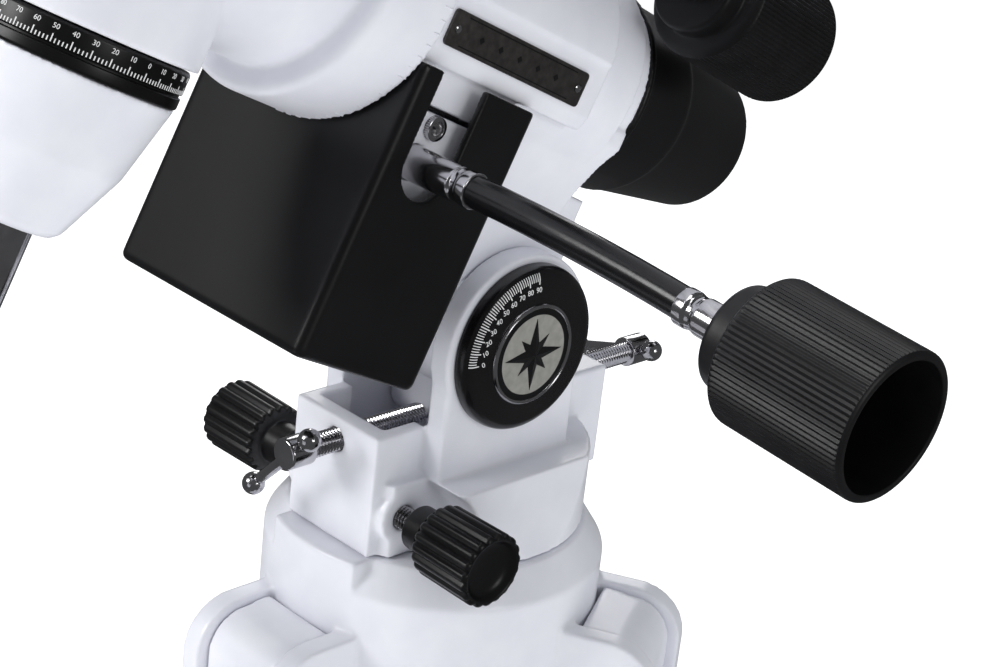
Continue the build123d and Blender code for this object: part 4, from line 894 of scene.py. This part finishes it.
class SCOPE_OT_control_shafts(bpy.types.Operator):
    """Makes both slow-motion shafts with crimped ferrules and their ribbed cup knobs"""
    bl_idname = "scope.control_shafts"
    bl_label = "Control shafts"

    def execute(self, context):
        knobs = context.scene.scope_knobs
        for axis, body, begin, first, sag in (("ra", "polar_head", 27.0, 63.5, 5.6),
                                              ("dec", "ra_head", 22.0, 56.0, 2.5)):
            worm = JOINTS[f"{axis}_worm_turn"]
            knob = JOINTS[f"{axis}_knob_turn"]
            origin = Vector(worm["pos_m"])
            along = Vector(worm["axis"])
            end = Vector(knob["pos_m"])
            ahead = Vector(knob["axis"])
            length = (end - origin).dot(along) / MM
            points = sleeve_points(origin, along, first - 1, length - first, sag)
            points[-1] = end - ahead * 14 * MM
            sleeve = tube_mesh(f"{axis}_sleeve", points, 4.8)
            placed(f"{axis}_sleeve", sleeve, pvc_sleeve(), body, (f"{axis}_control_shaft",))
            ferrule = rounded([(3.1, 0), (5.4, 0, 0.4), (5.4, first - begin - 7.2, 0.5),
                               (4.95, first - begin - 6.2, 0.8), (4.95, first - begin - 4.6, 0.8),
                               (5.4, first - begin - 3.6, 0.5), (5.4, first - begin, 0.5),
                               (4.4, first - begin, 0.2)], 0.4)
            turned(f"{axis}_worm_ferrule", ferrule, placing(origin + along * begin * MM, along), chrome_plate(),
                   body, "chrome_steel", segments=48)
            crimp = rounded([(4.4, 0), (5.4, 0, 0.4), (5.4, 3.4, 0.5), (4.95, 4.4, 0.8), (4.95, 6.2, 0.8),
                             (5.4, 7.2, 0.5), (5.4, 18.0, 0.3), (3.0, 18.0)], 0.4)
            turned(f"{axis}_knob_ferrule", crimp, placing(end - ahead * 18.6 * MM, ahead), chrome_plate(),
                   body, "chrome_steel", segments=48)
            outer, inner = 21.0, 21.0 - knobs.wall
            cup = rounded([(0, 0), (14.2, 0, 0.8), (15.0, 1.2, 0.8), (15.0, 7.4, 1.0), (18.6, 8.2, 1.5),
                           (outer, 9.6, 1.2), (outer, 52.2, 0.9), (outer - 0.9, 53.0, 0.5),
                           (inner, 53.0, 0.6), (inner, 14.0, 1.5), (5.0, 14.0, 0.8), (4.6, 17.5, 0.8),
                           (0, 17.6)], 0.8)
            dense = []
            for low, high in zip(cup, cup[1:]):
                dense.append(low)
                if abs(high[1] - low[1]) > 20:
                    dense += [(low[0], low[1] + (high[1] - low[1]) * i / 8) for i in range(1, 8)]
            dense.append(cup[-1])
            grip = ribs(knobs.ribs, 0.45, 10.2, 52.0)

            def shape(angle, r, height):
                return grip(angle, r, height) if r > 20.5 else r
            turned(f"{axis}_cup_knob", dense, placing(end, ahead), ribbed_nylon(), f"{axis}_hand_knob",
                   "black_grip", (f"{axis}_hand_knob",), segments=knobs.ribs * 6, shape=shape)
        return {"FINISHED"}


# ---------------------------------------------------------------- declination head
class SCOPE_OT_declination_head(bpy.types.Operator):
    """Casts the declination housing, its index ridges and the setting circle"""
    bl_idname = "scope.declination_head"
    bl_label = "Declination head"

    def execute(self, context):
        casting = context.scene.scope_casting
        scale = context.scene.scope_scale
        cast_copy("dec_housing", powder_coated_aluminium(), casting.voxel, casting.passes)
        cast_copy("shaft_base", powder_coated_aluminium(), 0.8, 6)
        front = span("polar_housing", POLAR, PIVOT)[1]
        ridges = bmesh.new()
        for i in range(72):
            angle = 2 * pi * i / 72
            out = EAST * cos(angle) + NORMAL * sin(angle)
            place = placing(at(0, front + 2.6, POLAR_H) + out * 45.6 * MM, out, POLAR)
            block(ridges, place @ Matrix.Rotation(pi / 4, 4, "X"), (3.2 if i % 6 == 0 else 2.0, 0.9, 0.9))
        placed("hour_ridges", finished(ridges, "hour_ridges", 20.0), powder_coated_aluminium(), "ra_head")
        low, high = span("setting_circle", NORMAL, PIVOT)
        axis = at(0, DEC_U, 0)
        place = placing(axis, NORMAL, EAST)
        ring = rounded([(12.3, low), (30.8, low, 0.3), (31.3, low + 0.6, 0.4), (31.3, low + 3.4, 0.2),
                        (30.6, low + 3.6, 0.1), (30.6, low + 4.3, 0.1), (31.3, low + 4.5, 0.2),
                        (31.3, high - 0.7, 0.4), (30.7, high, 0.3), (12.3, high)], 0.3)
        turned("setting_circle_turned", ring, place, black_anodised(), "dec_axis", "black_anodised",
               ("setting_circle",), segments=160, closed=True)
        ticks = bmesh.new()
        figures = []
        for i in range(180):
            angle = 2 * pi * i / 180
            out = EAST * cos(angle) + POLAR * sin(angle)
            long = i % 5 == 0
            length = 2.2 if long else 1.2
            spot = placing(axis + out * 31.33 * MM + NORMAL * (low + 4.7 + length / 2) * MM, out, NORMAL)
            block(ticks, spot, (length, 0.34, 0.1))
            if long:
                degree = (i * 2) % 180
                value = min(degree, 180 - degree)
                spot = placing(axis + out * 31.3 * MM + NORMAL * (low + 8.9) * MM, out, NORMAL.cross(out))
                figures.append(lettering(str(value), scale.figure * 0.8, spot, "figure"))
        mesh = merged("declination_scale", figures, ticks)
        placed("declination_scale", mesh, white_print(), "dec_axis")
        return {"FINISHED"}


class SCOPE_OT_counterweight(bpy.types.Operator):
    """Turns the counterweight, its clamp knob and its shaft with the toe nut"""
    bl_idname = "scope.counterweight"
    bl_label = "Counterweight"

    def execute(self, context):
        axis = at(0, DEC_U, 0)
        low, high = span("counterweight_shaft", NORMAL, PIVOT)
        place = placing(axis, NORMAL * -1, EAST)
        rod = [(0, -high), (9.5, -high)] + [(9.5, -high + 8 * i) for i in range(1, 27)]
        rod += thread_outline(9.5, -low - 34, -low - 12.2, 1.5)
        rod += [(9.4, -low - 11)] + rounded([(9.6, -low - 12.1), (14.0, -low - 12, 0.8), (15.0, -low - 11, 0.6),
                                             (15.0, -low - 1, 0.8), (13.8, -low, 0.5), (0, -low)], 0.5)
        cut = thread(9.5, 1.5, 0.6, -low - 34, -low - 12.1)
        knurl = ribs(60, 0.5, -low - 10.6, -low - 1.2)

        def shape(angle, r, height):
            return knurl(angle, r, height) if r > 14.2 else cut(angle, r, height) if r < 9.8 else r
        turned("counterweight_rod", rod, place, chrome_plate(), "dec_axis", "chrome_steel",
               ("counterweight_shaft",), segments=240, shape=shape)
        low, high = span("counterweight", NORMAL, PIVOT)
        weight = rounded([(9.9, -high), (14, -high, 1), (16, -high + 1.5, 1), (44, -high, 2.5),
                          (48, -high + 4, 4), (48, -high + 20, 0.5), (47.2, -high + 21, 0.4),
                          (47.2, -high + 23, 0.4),
                          (48, -high + 24, 0.5), (48, -low - 4, 4), (44, -low, 2.5), (16, -low - 1.5, 1),
                          (14, -low, 1), (9.9, -low)], 2.0)
        turned("counterweight_turned", weight, place, stove_enamel(), "counterweight", "grey_iron",
               ("counterweight",), segments=128, closed=True)
        knob_at = Vector(JOINTS["counterweight_knob_turn"]["pos_m"])
        self.screw_knob(knob_at, EAST * -1, "counterweight_knob", 13.0)
        knob_at = Vector(JOINTS["saddle_knob_turn"]["pos_m"])
        self.screw_knob(knob_at, EAST, "saddle_knob", 12.0)
        return {"FINISHED"}

    def screw_knob(self, origin, along, node, radius):
        """Screw with a lobed knob on its outer end."""
        start, end = span(node, along, origin)
        outline = [(0, start)] + thread_outline(4.0, start + 0.2, end - 16, 1.25)
        outline += rounded([(4.0, end - 15.6), (radius - 3, end - 15, 0.8), (radius, end - 12, 2),
                            (radius, end - 2, 2), (radius - 3, end, 1), (0, end)], 0.8)
        cut = thread(4.0, 1.25, 0.6, start, end - 16)
        lobes = ribs(8, 1.6, end - 14, end + 1, 1.5)

        def shape(angle, r, height):
            return lobes(angle, r, height) if r > radius - 2 else cut(angle, r, height) if r < 4.1 else r
        turned(node + "_turned", outline, placing(origin, along), ribbed_nylon(), BODY_OF[node], "black_grip",
               (node,), segments=96, shape=shape)


# ---------------------------------------------------------------- optical tube
class SCOPE_OT_optical_tube(bpy.types.Operator):
    """Makes the saddle, rings, tube, dew shield, lens and focuser"""
    bl_idname = "scope.optical_tube"
    bl_label = "Optical tube"

    def execute(self, context):
        casting = context.scene.scope_casting
        cast_copy("saddle", powder_coated_aluminium(), 1.0, casting.passes)
        cast_copy("tube_rings", powder_coated_aluminium(), 1.0, casting.passes)
        cast_copy("dovetail_bar", black_anodised(), 0.9, 3)
        cast_copy("focuser", black_anodised(), 1.0, 5)
        cast_copy("star_diagonal", black_anodised(), 0.9, 5)
        low, high = span("optical_tube", POLAR, PIVOT)
        bottom, top = span("optical_tube", NORMAL, PIVOT)
        axis_h = (bottom + top) / 2
        place = placing(at(0, 0, axis_h), POLAR, EAST)
        tube = [(52, low), (53.6, low), (54, low + 0.4), (54, high - 0.4), (53.6, high), (52, high)]
        turned("tube_skin", tube, place, stove_enamel(), "dec_axis", "white_enamel", ("optical_tube",),
               segments=160, closed=True)
        start, end = span("dew_shield", POLAR, PIVOT)
        shield = rounded([(54.1, start), (62.5, start, 1.2), (64, start + 2, 1.2), (64, start + 18, 0.4),
                          (63.3, start + 18.6, 0.3), (63.3, start + 20, 0.3), (64, start + 20.6, 0.4),
                          (64, end - 1.6, 1.0), (62.6, end, 0.8), (61.2, end - 0.8, 0.5), (61, high + 0.4, 0.5),
                          (54.1, high)], 0.8)
        turned("dew_shield_skin", shield, place, stove_enamel(), "dec_axis", "white_enamel", ("dew_shield",),
               segments=160, closed=True)
        lining = [(60.9, high + 2), (60.9, end - 6), (60.5, end - 6), (60.5, high + 2)]
        turned("dew_shield_lining", lining, place, satin_abs(), "dec_axis", "black_abs", segments=128,
               closed=True)
        back, face = span("objective_lens", POLAR, PIVOT)
        lens = [(0, back + 2), (47, back + 1), (47, face - 4)]
        lens += [(47 * (1 - i / 12), face - 4 + 3.6 * (1 - (1 - i / 12) ** 2)) for i in range(1, 13)]
        turned("front_lens", lens, place, coated_glass(), "dec_axis", "lens_glass", ("objective_lens",),
               segments=128)
        cell = rounded([(47.05, back), (51.9, back), (51.9, face, 0.5), (48.5, face, 0.8), (47.05, face - 3)],
                       0.5)
        turned("lens_cell", cell, place, black_anodised(), "dec_axis", "black_anodised", segments=128,
               closed=True)
        for i in range(4):
            inside = high - 60 - 90 * i
            hole = 40 - 3 * i
            baffle = rounded([(hole, inside), (51.8, inside), (51.8, inside + 1), (hole, inside + 1)], 0.1)
            turned(f"baffle_{i}", baffle, place, satin_abs(), "dec_axis", "black_abs", segments=96, closed=True)
        start, end = span("draw_tube", POLAR, PIVOT)
        draw = rounded([(24.05, start), (29, start, 1), (30, start + 1, 1), (30, start + 15, 1),
                        (29, start + 16, 0.6), (26, start + 16.4, 0.3), (26, end, 0.4), (24.05, end)], 0.5)
        turned("chrome_draw_tube", draw, place, chrome_plate(), "draw_tube", "chrome_tube", ("draw_tube",),
               segments=160, closed=True, shape=ribs(72, 0.4, start + 2, start + 14))
        self.focus_knobs()
        self.eyepiece()
        return {"FINISHED"}

    def focus_knobs(self):
        """Both focus knobs on their shaft."""
        origin = Vector(JOINTS["focus_knob_turn"]["pos_m"])
        start, end = span("focus_knobs", EAST, origin)
        half = [(0, 0), (4, 0), (4, end - 18.4)]
        half += rounded([(4, end - 18.2), (13, end - 18, 1), (18, end - 16, 1.5), (19, end - 13, 1),
                         (19, end - 3, 1.5), (17, end, 1), (10, end, 1), (8, end - 1.2, 0.5),
                         (0, end - 1.2)], 0.8)

        def shape(angle, r, height):
            return grip(angle, r, height) if r > 18 else r
        grip = ribs(48, 0.9, end - 14, end - 2)
        meshes = [lathe_mesh("focus_knob", half, placing(origin, EAST * sign), 240, shape) for sign in (-1, 1)]
        placed("focus_knobs_turned", merged("focus_knobs_turned", meshes), ribbed_nylon(), "focus_knobs",
               ("focus_knobs",))

    def eyepiece(self):
        """Eyepiece with a chrome barrel, ribbed grip and rubber eyecup."""
        low, high = span("eyepiece", NORMAL, PIVOT)
        nodes = frame["nodes"]["eyepiece"].data.vertices
        middle = sum(((v.co - PIVOT).dot(POLAR) for v in nodes), 0.0) / len(nodes) / MM
        place = placing(at(0, middle, 0), NORMAL, EAST)
        barrel = rounded([(14, low), (15.7, low, 0.4), (15.9, low + 1, 0.4), (15.9, low + 26)], 0.4)
        barrel.append((14, low + 26))
        turned("eyepiece_barrel", barrel, place, chrome_plate(), "draw_tube", "chrome_tube", ("eyepiece",),
               segments=96, closed=True)
        body = rounded([(13, low + 26.1), (19.5, low + 26.2, 0.8), (20, low + 30, 0.5), (20, low + 46, 0.5),
                        (18.6, low + 48, 0.8), (18.6, low + 60), (13, low + 60)], 0.5)
        turned("eyepiece_body", body, place, black_anodised(), "draw_tube", "black_anodised", segments=144,
               closed=True, shape=ribs(36, 0.7, low + 31, low + 45))
        cup = rounded([(12, low + 59), (18.8, low + 59, 0.4), (19, low + 66, 1), (18, high, 1), (15, high, 1),
                       (12, low + 62, 1)], 0.6)
        turned("eyepiece_cup", cup, place, moulded_rubber(), "draw_tube", "black_grip", segments=96,
               closed=True)
        glass = [(0, low + 55), (13.1, low + 55), (13.1, low + 58), (8, low + 59.2), (0, low + 59.8)]
        turned("eye_lens", glass, place, coated_glass(), "draw_tube", "lens_glass", segments=64)


class SCOPE_PT_panel(bpy.types.Panel):
    """Lists the pieces of the telescope"""
    bl_idname = "SCOPE_PT_panel"
    bl_label = "Telescope"
    bl_space_type = "VIEW_3D"
    bl_region_type = "UI"
    bl_category = "Telescope"

    def draw(self, context):
        for group in (context.scene.scope_casting, context.scene.scope_scale, context.scene.scope_knobs):
            for name in group.bl_rna.properties.keys()[2:]:
                self.layout.prop(group, name)
        for operator in OPERATORS:
            self.layout.operator(operator.bl_idname)


SETTINGS = (CastingSettings, ScaleSettings, KnobSettings, StudioSettings)
OPERATORS = (SCOPE_OT_stage, SCOPE_OT_tripod_head, SCOPE_OT_legs, SCOPE_OT_mount_base, SCOPE_OT_latitude_disc,
             SCOPE_OT_polar_head, SCOPE_OT_control_shafts, SCOPE_OT_declination_head, SCOPE_OT_counterweight,
             SCOPE_OT_optical_tube)


def register():
    for kind in SETTINGS + OPERATORS + (SCOPE_PT_panel,):
        bpy.utils.register_class(kind)
    bpy.types.Scene.scope_casting = PointerProperty(type=CastingSettings)
    bpy.types.Scene.scope_scale = PointerProperty(type=ScaleSettings)
    bpy.types.Scene.scope_knobs = PointerProperty(type=KnobSettings)
    bpy.types.Scene.scope_studio = PointerProperty(type=StudioSettings)


def unregister():
    for name in ("scope_casting", "scope_scale", "scope_knobs", "scope_studio"):
        delattr(bpy.types.Scene, name)
    for kind in reversed(SETTINGS + OPERATORS + (SCOPE_PT_panel,)):
        bpy.utils.unregister_class(kind)


def main():
    register()
    for operator in OPERATORS:
        name = operator.bl_idname.split(".")[1]
        if getattr(bpy.ops.scope, name)() != {"FINISHED"}:
            raise RuntimeError(f"{name} did not finish")


if __name__ == "__main__":
    main()
